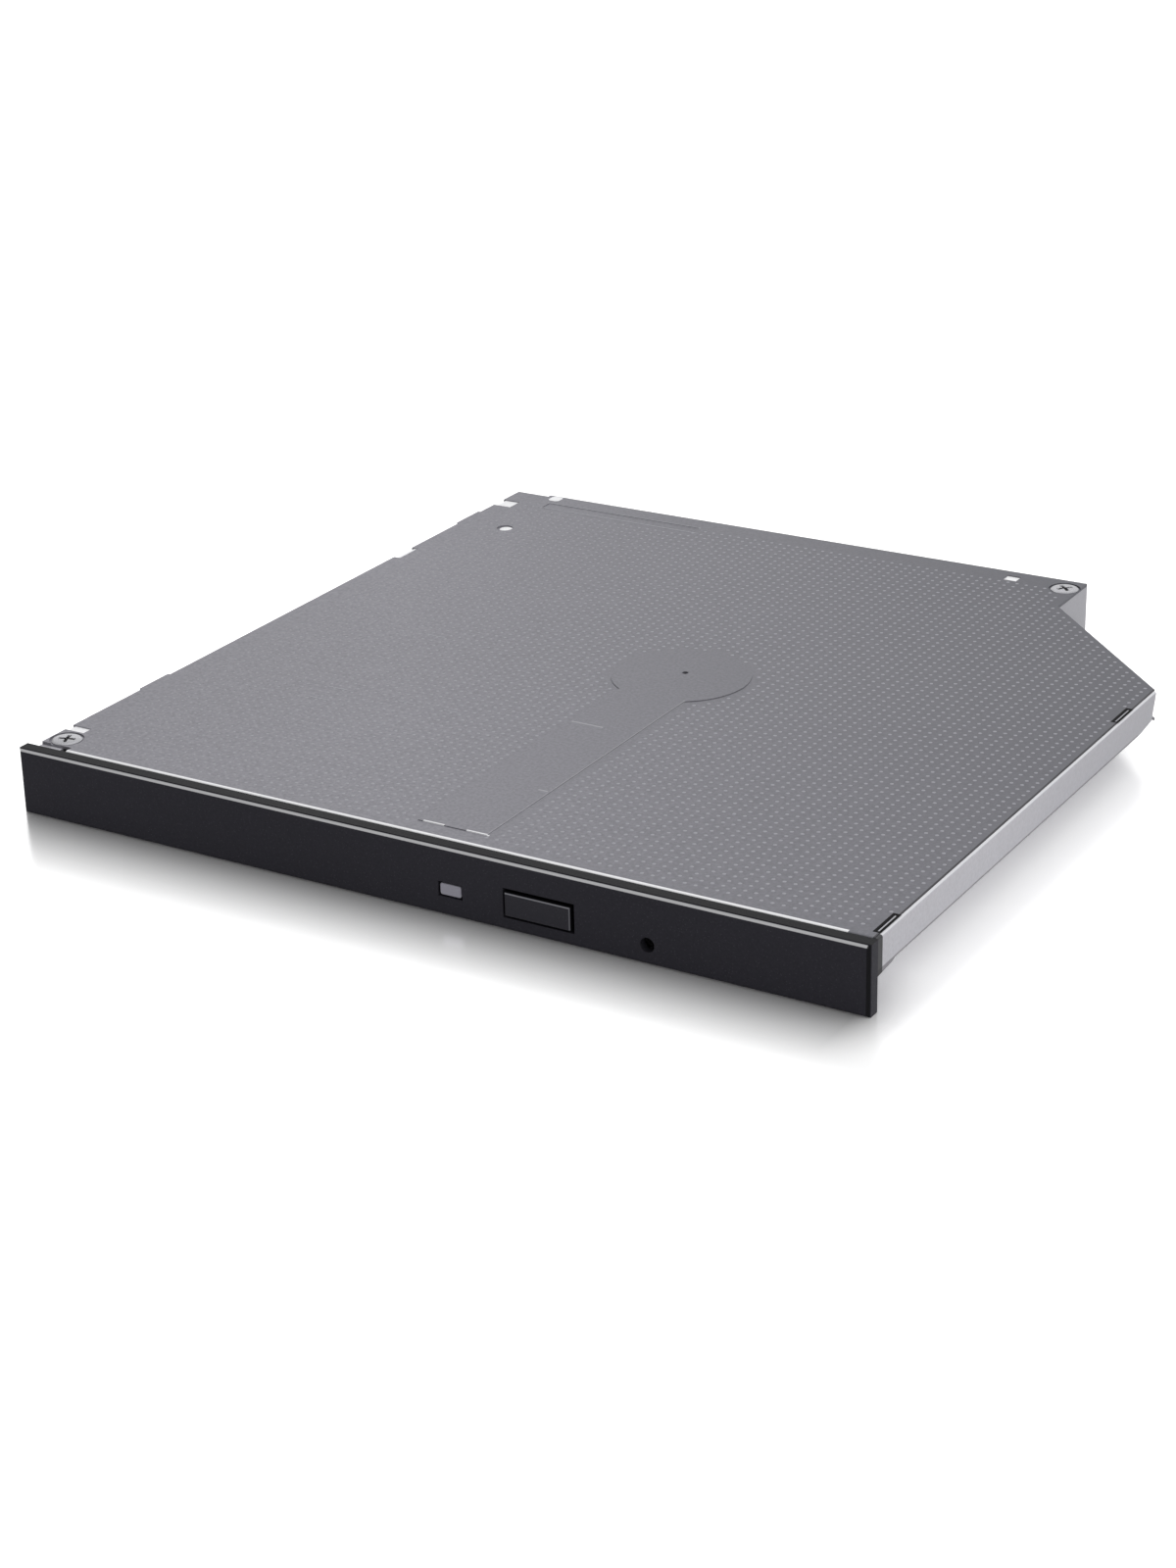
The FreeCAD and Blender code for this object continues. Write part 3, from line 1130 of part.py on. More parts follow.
def latch():
    """Lever that hooks the case post, the solenoid that frees it and their pin."""
    lever = Piece("latch_lever")
    eye = ("lever_x", "lever_y")
    lever.add("XY", "lever_low", "lever_high", disc(*eye, "lever_eye"))
    lever.add("XY", "lever_low", "lever_high",
              [("lever_x + 0.6", "lever_y"), ("lever_x + 0.6", "post_y + 3.4"),
               ("lever_x + 0.6", "panel_depth + skirt_thickness + 6"),
               ("release_x - 0.9", "panel_depth + skirt_thickness + 2.6"),
               ("release_x + 0.5", "panel_depth + skirt_thickness + 4.4"),
               ("lever_x + 2.2", "panel_depth + skirt_thickness + 8"),
               ("lever_x + 2.2", "post_y + post_radius + 0.6"),
               ("step_in - 0.6", "post_y + post_radius + 0.6"),
               ("step_in - 0.6", "post_y + post_radius + 2.2"),
               ("lever_x + 2.2", "post_y + post_radius + 2.2"), ("lever_x + 2.2", "lever_y")])
    lever.cut("XY", "lever_low", "lever_high", disc(*eye, "lever_pin + shaft_play"))
    pin = Piece("latch_pin")
    pin.add("XY", "lever_low - 0.5", "lever_low - 0.05", disc(*eye, "lever_pin + 0.6"))
    pin.add("XY", "lever_low - 0.05", "tray_low", disc(*eye, "lever_pin"))
    case = Piece("eject_solenoid")
    middle = "(lever_low + lever_high) / 2"
    case_left = "lever_x - 16"
    case_right = "lever_x - 4.6"
    case.add("XY", f"{middle} - 1.9", f"{middle} + 1.9",
             box(case_left, case_right, "solenoid_y - 3", "solenoid_y + 3"))
    case.cut("YZ", f"{case_left} + 4", case_right, disc("solenoid_y", middle, "1.25"))
    plunger = Piece("solenoid_plunger")
    plunger.add("YZ", f"{case_left} + 6.5", "lever_x + 0.3", disc("solenoid_y", middle, "1.15"))
    return lever, pin, case, plunger


def ejector():
    """Spring plunger in the tray's rear that pushes off the case's rear wall."""
    plunger = Piece("ejector_plunger")
    axis = ("ejector_x", "ejector_z")
    plunger.add("XZ", "spring_rear", "ejector_tip", disc(*axis, "ejector_radius"))
    plunger.cut("XZ", "spring_rear + ejector_stroke", "ejector_tip - 2", box(
        "ejector_x - ejector_radius", "ejector_x + ejector_radius", "ejector_z + ejector_radius * 0.6",
        "ejector_z + ejector_radius"))
    return plunger


def ejector_spring():
    """Coil spring in the tunnel: quarter-turn arcs swept as one unbroken tube."""
    wire = SIZES["spring_wire"] / 2
    coil = SIZES["ejector_radius"] - wire - SIZES["ejector_play"]
    start, end = value("spring_front") + wire + 0.15, value("spring_rear") - wire - 0.15
    turns = int(round(SIZES["spring_turns"]))
    x, z = value("ejector_x"), value("ejector_z")

    def point(turn):
        angle = 2 * math.pi * turn
        along = start + (end - start) * turn / turns
        return FreeCAD.Vector(x + coil * math.cos(angle), along, z + coil * math.sin(angle))

    quarters = [Part.Arc(point(n / 4), point(n / 4 + 0.125), point(n / 4 + 0.25)).toShape()
                for n in range(turns * 4)]
    path = Part.Wire(quarters)
    first = quarters[0].tangentAt(quarters[0].FirstParameter)
    section = Part.Wire([Part.Circle(point(0), first, wire).toShape()])
    coil_pitch = (end - start) / turns
    print("ejector spring: least gap between turns", round(coil_pitch - 2 * wire, 2))
    spring = doc.addObject("Part::Feature", "ejector_spring")
    spring.Label = "ejector_spring"
    spring.Shape = path.makePipeShell([section], True, False)
    spring.setExpression("Placement.Base.y", formula(f"-{ORIGIN_Y}"))
    loose.append(spring)
    return spring


def deck_screws():
    """Three flat screws that hold the deck on the tray's ledge."""
    screws = Piece("deck_screws", mechanism=True)
    edge = "window_margin - window_ledge / 2"
    points = ((f"-mech_inner + {edge}", "11"), ("mech_outer - 24", f"-mech_motor_side + {edge}"),
              ("mech_outer - 24", f"mech_free_side - ({edge})"))
    for u, v in points:
        screws.add("XY", "deck_top", "deck_top + 0.25", disc(u, v, "window_ledge * 0.42"))
    return screws


base_pan()
top_cover()
cover_screws()
for hand in ("left", "right"):
    rail_guide(hand)
    rail(hand)
rear_electronics()
flat_flex()
latch_post()
tray()
front_panel()
eject_button()
front_electronics()
main_board()
front_flex()
tray_shield()
mech_frame()
dampers()
spindle_motor()
rotor()
hub_claws()
guide_rods()
sled_drive()
pickup()
deck()
deck_screws()
latch()
ejector()
ejector_spring()
doc.recompute()

# Every object and every piece is checked before anything is written
for item in doc.Objects:
    if "Invalid" in item.State or "Error" in item.State:
        raise RuntimeError(f"{item.Label} failed: {item.State}")
for piece in pieces:
    for pocket in piece.pockets:
        if pocket.BaseFeature.Shape.Volume - pocket.Shape.Volume < 1e-4:
            raise RuntimeError(f"{pocket.Label} removes nothing")
finished = [piece.body for piece in pieces] + loose
for item in finished:
    if item.Shape.isNull() or not item.Shape.isValid():
        raise RuntimeError(f"{item.Label} has no valid shape")

os.makedirs("parts", exist_ok=True)
for item in finished:
    item.Shape.exportStep(f"parts/{item.Label}.step")
    corner = item.Shape.BoundBox
    print(f"{item.Label}: {len(item.Shape.Solids)} solid(s), {item.Shape.Volume:.2f} mm3,",
          f"x {corner.XMin:.1f}..{corner.XMax:.1f}, y {corner.YMin:.1f}..{corner.YMax:.1f},",
          f"z {corner.ZMin:.2f}..{corner.ZMax:.2f}")
print(len(finished), "parts")
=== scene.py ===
import bpy
import bmesh
import json
import math
from mathutils import Matrix, Vector


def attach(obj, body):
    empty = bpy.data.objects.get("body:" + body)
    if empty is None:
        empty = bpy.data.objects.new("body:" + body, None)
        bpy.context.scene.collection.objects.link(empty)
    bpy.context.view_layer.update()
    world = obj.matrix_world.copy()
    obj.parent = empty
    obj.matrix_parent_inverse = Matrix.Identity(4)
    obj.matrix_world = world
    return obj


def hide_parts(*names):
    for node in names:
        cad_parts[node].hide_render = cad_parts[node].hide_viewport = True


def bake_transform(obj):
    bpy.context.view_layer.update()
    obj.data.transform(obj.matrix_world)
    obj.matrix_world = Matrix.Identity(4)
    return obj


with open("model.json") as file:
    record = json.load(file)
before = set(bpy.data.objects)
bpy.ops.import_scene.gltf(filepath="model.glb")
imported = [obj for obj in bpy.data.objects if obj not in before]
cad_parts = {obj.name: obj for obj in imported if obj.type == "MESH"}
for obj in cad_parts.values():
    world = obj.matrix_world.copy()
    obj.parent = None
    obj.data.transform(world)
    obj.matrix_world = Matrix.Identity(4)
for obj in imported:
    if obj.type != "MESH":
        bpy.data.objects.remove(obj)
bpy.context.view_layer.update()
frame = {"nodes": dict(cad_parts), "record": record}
nodes = frame["nodes"]
print("frame loaded:", len(nodes), "nodes")

mm = 0.001
panelToMiddle = 63.325    # the panel's front face lies this far in front of the origin


def spot(x, y, z):
    # a point measured from the middle of the panel's front face, in millimetres
    return Vector((x * mm, (y - panelToMiddle) * mm, z * mm))


def linked(name, data):
    holder = bpy.data.objects.new(name, data)
    bpy.context.scene.collection.objects.link(holder)
    return holder


# Camera and lamps

camera = {
    "lens": 71.61,
    "sensorHeight": 36,
    "nearest": 0.01,
    "farthest": 20,
    "place": (204.989, -293.355, 170.420),
    "turn": 31.35,        # degrees to the right of the panel's normal
    "tilt": 23.312,       # degrees above the floor
    "roll": -1.41,
}


def addCamera():
    turn, tilt, roll = (math.radians(camera[key]) for key in ("turn", "tilt", "roll"))
    back = Vector((math.sin(turn) * math.cos(tilt), -math.cos(turn) * math.cos(tilt), math.sin(tilt)))
    right = Vector((math.cos(turn), math.sin(turn), 0))
    up = back.cross(right)
    rolledRight = right * math.cos(roll) + up * math.sin(roll)
    rolledUp = up * math.cos(roll) - right * math.sin(roll)
    data = bpy.data.cameras.new("photoCamera")
    data.lens = camera["lens"]
    data.sensor_fit = "VERTICAL"
    data.sensor_height = camera["sensorHeight"]
    data.clip_start = camera["nearest"]
    data.clip_end = camera["farthest"]
    axes = Matrix((rolledRight, rolledUp, back)).transposed().to_4x4()
    axes.translation = spot(*camera["place"])
    holder = linked("photoCamera", data)
    holder.matrix_world = axes
    bpy.context.scene.camera = holder


addCamera()

lamps = {
    "overhead": {"place": (0.1, 0.35, 0.8), "aim": (0.0, 0.0, 0.0), "size": (1.7, 1.3), "watts": 4.6},
    "backLeft": {"place": (-0.9, 0.5, 0.75), "aim": (0.0, 0.0, 0.0), "size": (1.1, 0.9), "watts": 1.5},
    "rightFill": {"place": (0.9, -0.1, 0.45), "aim": (0.05, 0.0, 0.0), "size": (1.2, 0.9), "watts": 2.4},
}


def addLamps():
    for name, lamp in lamps.items():
        data = bpy.data.lights.new(name, "AREA")
        data.shape = "RECTANGLE"
        data.size, data.size_y = lamp["size"]
        data.energy = lamp["watts"]
        place = Vector(lamp["place"])
        aim = Vector(lamp["aim"]) - place
        holder = linked(name, data)
        holder.rotation_euler = aim.to_track_quat("-Z", "Y").to_euler()
        holder.location = place


addLamps()


# Small helpers for node trees

def fill(tree, node, sockets):
    # links each value that is a socket, and sets the others
    for label, value in sockets.items():
        if isinstance(value, bpy.types.NodeSocket):
            tree.links.new(value, node.inputs[label])
        else:
            node.inputs[label].default_value = value


def newNode(tree, kind, sockets=None, **values):
    # sockets are filled last, because some values change which sockets there are
    node = tree.nodes.new(kind)
    for name, value in values.items():
        setattr(node, name, value)
    fill(tree, node, sockets or {})
    return node


def mathNode(tree, operation, *inputs):
    return newNode(tree, "ShaderNodeMath", dict(enumerate(inputs)), operation=operation).outputs[0]


def mixColour(tree, share, under, over):
    sockets = {"Factor": share, "A": under, "B": over}
    return newNode(tree, "ShaderNodeMix", sockets, data_type="RGBA").outputs["Result"]


def ownPlace(tree):
    return newNode(tree, "ShaderNodeTexCoord").outputs["Object"]


def newGroup(name, inputs, outputs, treeKind="ShaderNodeTree"):
    tree = bpy.data.node_groups.new(name, treeKind)
    for label, kind, value in inputs:
        socket = tree.interface.new_socket(name=label, in_out="INPUT", socket_type=kind)
        if value is not None:
            socket.default_value = value
    for label, kind in outputs:
        tree.interface.new_socket(name=label, in_out="OUTPUT", socket_type=kind)
    return tree, tree.nodes.new("NodeGroupInput").outputs, tree.nodes.new("NodeGroupOutput")


numberSocket, colourSocket, directionSocket = "NodeSocketFloat", "NodeSocketColor", "NodeSocketVector"
objectSocket, materialSocket, wholeSocket = "NodeSocketObject", "NodeSocketMaterial", "NodeSocketInt"
middleGrey, white = (0.5, 0.5, 0.5, 1), (1, 1, 1, 1)


def noiseField(tree, place, scale, detail=3.0):
    sockets = {"Vector": place, "Scale": scale, "Detail": detail}
    return newNode(tree, "ShaderNodeTexNoise", sockets).outputs["Fac"]


def swung(tree, field, reach, middle):
    # a value round its middle, by a field whose own middle is 0.5
    swing = mathNode(tree, "MULTIPLY", mathNode(tree, "SUBTRACT", field, 0.5), reach)
    return mathNode(tree, "ADD", mathNode(tree, "MULTIPLY", swing, 2.0), middle)


def shadeBy(tree, base, field, spread):
    sockets = {"Color": base, "Value": swung(tree, field, spread, 1.0)}
    return newNode(tree, "ShaderNodeHueSaturation", sockets).outputs["Color"]


grain = {"fineShare": 0.7, "patchShare": 0.3, "patchDetail": 2.0}
brush = {"lines": 60.0, "detail": 4.0}


def grainGroup():
    # fine grain in the colour, with slow patches in colour and roughness
    tree, given, end = newGroup("fineGrain", [
        ("Colour", colourSocket, middleGrey), ("Spread", numberSocket, 0.1), ("Size", numberSocket, 2000.0),
        ("Roughness", numberSocket, 0.5), ("Rough Spread", numberSocket, 0.1),
        ("Patch Size", numberSocket, 30.0)],
        [("Colour", colourSocket), ("Roughness", numberSocket), ("Height", numberSocket)])
    fine = noiseField(tree, ownPlace(tree), given["Size"])
    patch = noiseField(tree, ownPlace(tree), given["Patch Size"], grain["patchDetail"])
    both = mathNode(tree, "ADD", mathNode(tree, "MULTIPLY", fine, grain["fineShare"]),
                    mathNode(tree, "MULTIPLY", patch, grain["patchShare"]))
    fill(tree, end, {"Colour": shadeBy(tree, given["Colour"], both, given["Spread"]), "Height": fine,
                     "Roughness": swung(tree, patch, given["Rough Spread"], given["Roughness"])})
    return tree


def brushGroup():
    tree, given, end = newGroup("brushedLines", [
        ("Colour", colourSocket, middleGrey), ("Spread", numberSocket, 0.1),
        ("Stretch", directionSocket, (1, 30, 30)), ("Roughness", numberSocket, 0.4),
        ("Rough Spread", numberSocket, 0.1)],
        [("Colour", colourSocket), ("Roughness", numberSocket), ("Height", numberSocket)])
    mapping = newNode(tree, "ShaderNodeMapping", {"Vector": ownPlace(tree), "Scale": given["Stretch"]})
    lines = noiseField(tree, mapping.outputs["Vector"], brush["lines"], brush["detail"])
    fill(tree, end, {"Colour": shadeBy(tree, given["Colour"], lines, given["Spread"]), "Height": lines,
                     "Roughness": swung(tree, lines, given["Rough Spread"], given["Roughness"])})
    return tree


def speckGroup():
    tree, given, end = newGroup("tinySpecks", [
        ("Colour", colourSocket, middleGrey), ("Speck Colour", colourSocket, (0.8, 0.8, 0.8, 1)),
        ("Size", numberSocket, 900.0), ("Reach", numberSocket, 0.18), ("Amount", numberSocket, 0.5)],
        [("Colour", colourSocket)])
    cells = newNode(tree, "ShaderNodeTexVoronoi", {"Vector": ownPlace(tree), "Scale": given["Size"]})
    near = mathNode(tree, "LESS_THAN", cells.outputs["Distance"], given["Reach"])
    mask = mathNode(tree, "MULTIPLY", near, given["Amount"])
    fill(tree, end, {"Colour": mixColour(tree, mask, given["Colour"], given["Speck Colour"])})
    return tree


def bandGroup():
    # a soft mask that is 1 where one axis of the piece lies between two places
    tree, given, end = newGroup("edgeBand", [
        ("Axis", directionSocket, (0, 1, 0)), ("Low", numberSocket, 0.0), ("High", numberSocket, 1.0),
        ("Soft", numberSocket, 0.0001)], [("Mask", numberSocket)])
    axes = {0: ownPlace(tree), 1: given["Axis"]}
    place = newNode(tree, "ShaderNodeVectorMath", axes, operation="DOT_PRODUCT").outputs["Value"]
    inside = mathNode(tree, "MINIMUM", mathNode(tree, "SUBTRACT", place, given["Low"]),
                      mathNode(tree, "SUBTRACT", given["High"], place))
    share = mathNode(tree, "MAXIMUM", mathNode(tree, "DIVIDE", inside, given["Soft"]), 0.0)
    fill(tree, end, {"Mask": mathNode(tree, "MINIMUM", share, 1.0)})
    return tree


fineGrain, brushedLines, tinySpecks, edgeBand = grainGroup(), brushGroup(), speckGroup(), bandGroup()


def placeGroup(tree, group, **values):
    sockets = {label.replace("_", " "): value for label, value in values.items()}
    return newNode(tree, "ShaderNodeGroup", sockets, node_tree=group)


def bandMask(tree, axis, low, high, soft):
    return placeGroup(tree, edgeBand, Axis=axis, Low=low, High=high, Soft=soft).outputs["Mask"]


def shade(red, green, blue):
    # a colour as a paint program shows it, turned into the renderer's own values
    def straight(value):
        value /= 255
        return value / 12.92 if value <= 0.04045 else ((value + 0.055) / 1.055) ** 2.4
    return (straight(red), straight(green), straight(blue), 1.0)


def finish(name, base, roughness, metallic=0.0, spread=0.08, size=2500.0, roughSpread=0.06, patch=25.0,
           bump=0.15, bumpDepth=0.00002, brushed=None, specks=None, bands=(), coat=0.0, sockets=None):
    material = bpy.data.materials.new(name)
    material.use_nodes = True
    tree = material.node_tree
    values = {"Colour": shade(*base), "Spread": spread, "Roughness": roughness, "Rough_Spread": roughSpread}
    if brushed:
        main = placeGroup(tree, brushedLines, Stretch=brushed, **values)
    else:
        main = placeGroup(tree, fineGrain, Size=size, Patch_Size=patch, **values)
    tone = main.outputs["Colour"]
    if specks:
        dots = placeGroup(tree, tinySpecks, Colour=tone, Speck_Colour=shade(*specks["colour"]),
                          Size=specks["size"], Reach=specks["reach"], Amount=specks["amount"])
        tone = dots.outputs["Colour"]
    for stripe in bands:
        amount = stripe["amount"]
        for axis, low, high in stripe["limits"]:
            mask = bandMask(tree, axis, low * mm, high * mm, stripe["soft"] * mm)
            amount = mathNode(tree, "MULTIPLY", mask, amount)
        tone = mixColour(tree, amount, tone, shade(*stripe["colour"]))
    relief = newNode(tree, "ShaderNodeBump", {"Strength": bump, "Distance": bumpDepth,
                                              "Height": main.outputs["Height"]})
    fill(tree, tree.nodes["Principled BSDF"], {
        "Base Color": tone, "Roughness": main.outputs["Roughness"], "Normal": relief.outputs["Normal"],
        "Metallic": metallic, "Coat Weight": coat, **(sockets or {})})
    return material


# Finishes, one for each material slot of the record

alongWidth = (1, 30, 30)
across, backwards, upwards = (1, 0, 0), (0, 1, 0), (0, 0, 1)


def sides(low, high):
    return across, low, high


def depths(low, high):
    # measured from the panel's front face, as spot does
    return backwards, low - panelToMiddle, high - panelToMiddle


def levels(low, high):
    return upwards, low, high


def band(*limits, soft, amount, colour):
    # a stripe of the surface with a tone of its own, in millimetres; most stripes here are painted highlights
    # and painted shade
    return {"limits": limits, "soft": soft, "amount": amount, "colour": colour}


finishes = {
    "cover_sheet": dict(base=(141, 140, 147), roughness=0.48, metallic=0.3, spread=0.5, size=2300.0,
                        bump=0.25, patch=14.0, sockets={"Specular IOR Level": 0.3}, bands=(
        # painted shade: the sheet is a little darker towards the rear right, where the light falls off
        band(((1, 0.6, 0), -45, 600), soft=120, amount=0.85, colour=(88, 89, 96)),
        # painted highlight along the rounded front edge, painted highlight on the rear wall of the strip,
        # painted shade in the seam beside the right wall
        band(depths(2.2, 3.0), sides(-57.9, 59.9), soft=0.06, amount=0.95, colour=(252, 252, 254)),
        band(depths(123.15, 123.6), sides(-55.3, -26.5), soft=0.1, amount=0.8, colour=(172, 172, 178)),
        band(sides(63.08, 64), soft=0.06, amount=0.8, colour=(40, 38, 42)),
        # painted highlights as two bright dashes on the channel's front edge, two faint marks pressed into
        # the channel
        band(sides(-1.95, 1.3), depths(5.62, 6.0), soft=0.06, amount=0.92, colour=(248, 248, 250)),
        band(sides(4.6, 8.05), depths(5.62, 6.0), soft=0.06, amount=0.92, colour=(248, 248, 250)),
        band(sides(-2.4, 2.6), depths(43.0, 43.4), soft=0.08, amount=0.5, colour=(190, 190, 195)),
        band(sides(5.9, 7.4), depths(20.8, 21.2), soft=0.08, amount=0.5, colour=(190, 190, 195)),
        # painted light on the channel's low right wall, so that its shade shows only as a thin line
        band(sides(7.5, 7.9), depths(6.0, 57), soft=0.1, amount=0.4, colour=(180, 180, 185)))),
    "case_sheet": dict(base=(196, 195, 201), roughness=0.45, metallic=0.4, spread=0.2, size=2300.0,
                       roughSpread=0.08, bump=0.12, sockets={"Specular IOR Level": 0.35}, bands=(
        # the pan grows a little darker towards the rear
        band(depths(35, 400), soft=60, amount=0.5, colour=(150, 150, 156)),
        # painted highlight along the bend at the top of the right wall, painted shade along its lower edge
        # and painted shade on its front end by the gap at the panel
        band(levels(9.2, 9.5), sides(63.2, 64), soft=0.06, amount=0.8, colour=(232, 232, 236)),
        band(levels(4.3, 5.28), sides(63.3, 64), depths(-1, 84), soft=0.12, amount=0.6, colour=(70, 68, 72)),
        band(depths(2.4, 3.75), sides(63.0, 64), soft=0.06, amount=0.93, colour=(18, 17, 20)))),
    "steel": dict(base=(176, 176, 180), roughness=0.32, metallic=0.85, spread=0.05, brushed=alongWidth,
                  bump=0.1),
    "shield_sheet": dict(base=(150, 150, 154), roughness=0.45, metallic=0.6, spread=0.05, brushed=alongWidth,
                         bump=0.1),
    "black_plastic": dict(base=(50, 49, 56), roughness=0.5, spread=0.28, size=3200.0, bump=0.4,
                          bumpDepth=0.00003, sockets={"Specular IOR Level": 0.1},
                          specks={"colour": (74, 73, 80), "size": 2300.0, "reach": 0.18, "amount": 0.5},
                          bands=(
        # the panel's upper bevel catches the light as one thin line, its right bevel and top lie in shade
        band(levels(9.08, 9.4), depths(-1, 0.5), sides(-63.8, 63.7), soft=0.05, amount=0.92,
             colour=(212, 212, 214)),
        band(sides(63.5, 65), depths(-1, 0.4), soft=0.05, amount=0.9, colour=(10, 10, 12)),
        band(levels(9.43, 9.8), depths(0.3, 4), soft=0.04, amount=0.85, colour=(22, 22, 24)))),
    "grey_plastic": dict(base=(52, 52, 55), roughness=0.55, spread=0.15, size=3500.0, bump=0.35,
                         bumpDepth=0.00003,
                         specks={"colour": (70, 70, 74), "size": 2000.0, "reach": 0.15, "amount": 0.5}),
    "button_black": dict(base=(51, 50, 57), roughness=0.42, spread=0.22, size=3200.0, bump=0.35,
                         bumpDepth=0.00002, sockets={"Specular IOR Level": 0.15},
                         specks={"colour": (74, 73, 80), "size": 2300.0, "reach": 0.16, "amount": 0.45},
                         bands=(
        # painted shade on the cap's sides, which lie in its gap; painted highlights on its upper and right
        # edges
        band(sides(23.37, 24), depths(-1, 2), soft=0.03, amount=0.9, colour=(6, 6, 8)),
        band(levels(5.37, 6), depths(-1, 2), soft=0.03, amount=0.9, colour=(6, 6, 8)),
        band(levels(5.19, 5.38), depths(-1, -0.12), sides(13.9, 23.36), soft=0.04, amount=0.85,
             colour=(150, 150, 156)),
        band(sides(23.2, 23.38), depths(-1, -0.12), levels(2.3, 5.36), soft=0.04, amount=0.8,
             colour=(120, 120, 126)))),
    "lens_clear": dict(base=(164, 162, 174), roughness=0.35, spread=0.06, size=1800.0, bump=0.2),
    "board_green": dict(base=(28, 92, 52), roughness=0.38, spread=0.12, size=900.0, bump=0.2,
                        specks={"colour": (190, 190, 186), "size": 420.0, "reach": 0.16, "amount": 0.75}),
    "chip_black": dict(base=(30, 30, 32), roughness=0.55, spread=0.15, size=3800.0, bump=0.3),
    "socket_plastic": dict(base=(218, 212, 196), roughness=0.5, spread=0.05, size=2400.0, bump=0.15),
    "flex_film": dict(base=(148, 92, 40), roughness=0.32, spread=0.25, brushed=(60, 0.5, 1), roughSpread=0.1,
                      bump=0.3, bumpDepth=0.00003),
    "contact_gold": dict(base=(226, 180, 92), roughness=0.25, metallic=1.0, spread=0.06, size=2600.0,
                         bump=0.08),
    "rubber": dict(base=(42, 42, 42), roughness=0.78, spread=0.15, size=3000.0, bump=0.3),
    "cast_alloy": dict(base=(150, 150, 154), roughness=0.52, metallic=0.7, spread=0.12, size=2200.0, bump=0.4,
                       bumpDepth=0.00004),
    "bearing_brass": dict(base=(206, 170, 96), roughness=0.35, metallic=1.0, spread=0.08, size=2600.0,
                          bump=0.12),
    "winding": dict(base=(176, 96, 52), roughness=0.35, metallic=0.7, spread=0.3, brushed=(1, 1, 60),
                    bump=0.6, bumpDepth=0.00005),
    "optic": dict(base=(196, 206, 226), roughness=0.06, spread=0.03, size=600.0, bump=0.02, roughSpread=0.02,
                  sockets={"Transmission Weight": 0.75, "IOR": 1.5}, coat=0.3),
}

# Finishes of the details that only this script makes

extras = {
    # painted highlight: lighter than the cover sheet, as the tops of the raised dots catch the light
    "dotSheet": dict(base=(163, 163, 170), roughness=0.5, metallic=0.3, spread=0.06, size=4000.0, bump=0.05,
                     sockets={"Specular IOR Level": 0.3}),
    # white; on the pressed stud this is a painted highlight, and on the notch tabs painted light where the
    # bright backdrop shows through the notches
    "whiteAndHighlight": dict(base=(250, 250, 252), roughness=0.3, metallic=0.2, spread=0.03, size=3000.0, bump=0.05),
    "screwSteel": dict(base=(118, 118, 124), roughness=0.34, metallic=0.7, spread=0.12, size=3200.0,
                       bump=0.2),
    "seamShade": dict(base=(14, 14, 16), roughness=0.6, spread=0.1, size=3000.0, bump=0.1,
                      sockets={"Specular IOR Level": 0.08}),
    "threadSteel": dict(base=(166, 166, 170), roughness=0.25, metallic=0.95, spread=0.1, size=2600.0,
                        bump=0.1),
    "springSteel": dict(base=(160, 160, 166), roughness=0.3, metallic=0.9, spread=0.12, size=2600.0,
                        bump=0.15),
}
materials = {name: finish(name, **values) for name, values in (finishes | extras).items()}

for entry in frame["record"]["subparts"]:
    slots = nodes[entry["node"]].data.materials
    slots.clear()
    slots.append(materials[entry["material_slot"]])
print("finishes made:", len(materials))


# Helpers for pieces

def pieceFrom(name, mesh, finishName, body, stands=()):
    if not mesh.materials:
        mesh.materials.append(materials[finishName])
    piece = linked(name, mesh)
    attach(piece, body)
    if stands:
        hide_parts(*stands)


def meshFrom(name, shape, smooth=False):
    bmesh.ops.remove_doubles(shape, verts=shape.verts, dist=1e-7)
    bmesh.ops.recalc_face_normals(shape, faces=shape.faces)
    mesh = bpy.data.meshes.new(name)
    shape.to_mesh(mesh)
    shape.free()
    if smooth:
        mesh.polygons.foreach_set("use_smooth", [True] * len(mesh.polygons))
    return mesh


def around(n, steps):
    # cosine and sine after n of the steps that make a full circle
    angle = 2 * math.pi * n / steps
    return math.cos(angle), math.sin(angle)


def skin(shape, rings, ends=True):
    # faces from each ring of points to the next, where a ring may be a single point
    faces = []
    for low, high in zip(rings, rings[1:]):
        steps = max(len(low), len(high))
        for n in range(steps):
            m = (n + 1) % steps
            corners = (low[n % len(low)], low[m % len(low)], high[m % len(high)], high[n % len(high)])
            corners = list(dict.fromkeys(corners))
            if len(corners) > 2:
                faces.append(shape.faces.new(corners))
    if ends:
        shape.faces.new(rings[0][::-1])
        shape.faces.new(rings[-1])
    return faces


def spun(profile, steps):
    # a solid of revolution about the upright axis; profile is (radius, z) in millimetres
    shape = bmesh.new()
    rings = []
    for radius, z in profile:
        points = [around(n, steps) for n in range(steps)] if radius > 1e-6 else [(0, 0)]
        rings.append([shape.verts.new((radius * x * mm, radius * y * mm, z * mm)) for x, y in points])
    skin(shape, rings, ends=False)
    return shape


def growTree(name, inputs):
    geometry = "NodeSocketGeometry"
    inputs = [("Geometry", geometry, None), *inputs]
    return newGroup(name, inputs, [("Geometry", geometry)], "GeometryNodeTree")


def closeTree(tree, copies, material, end):
    # the copies become one real mesh with its finish
    real = newNode(tree, "GeometryNodeRealizeInstances", {"Geometry": copies.outputs["Instances"]})
    coat = newNode(tree, "GeometryNodeSetMaterial", {
        "Geometry": real.outputs["Geometry"], "Material": material})
    fill(tree, end, {"Geometry": coat.outputs["Geometry"]})


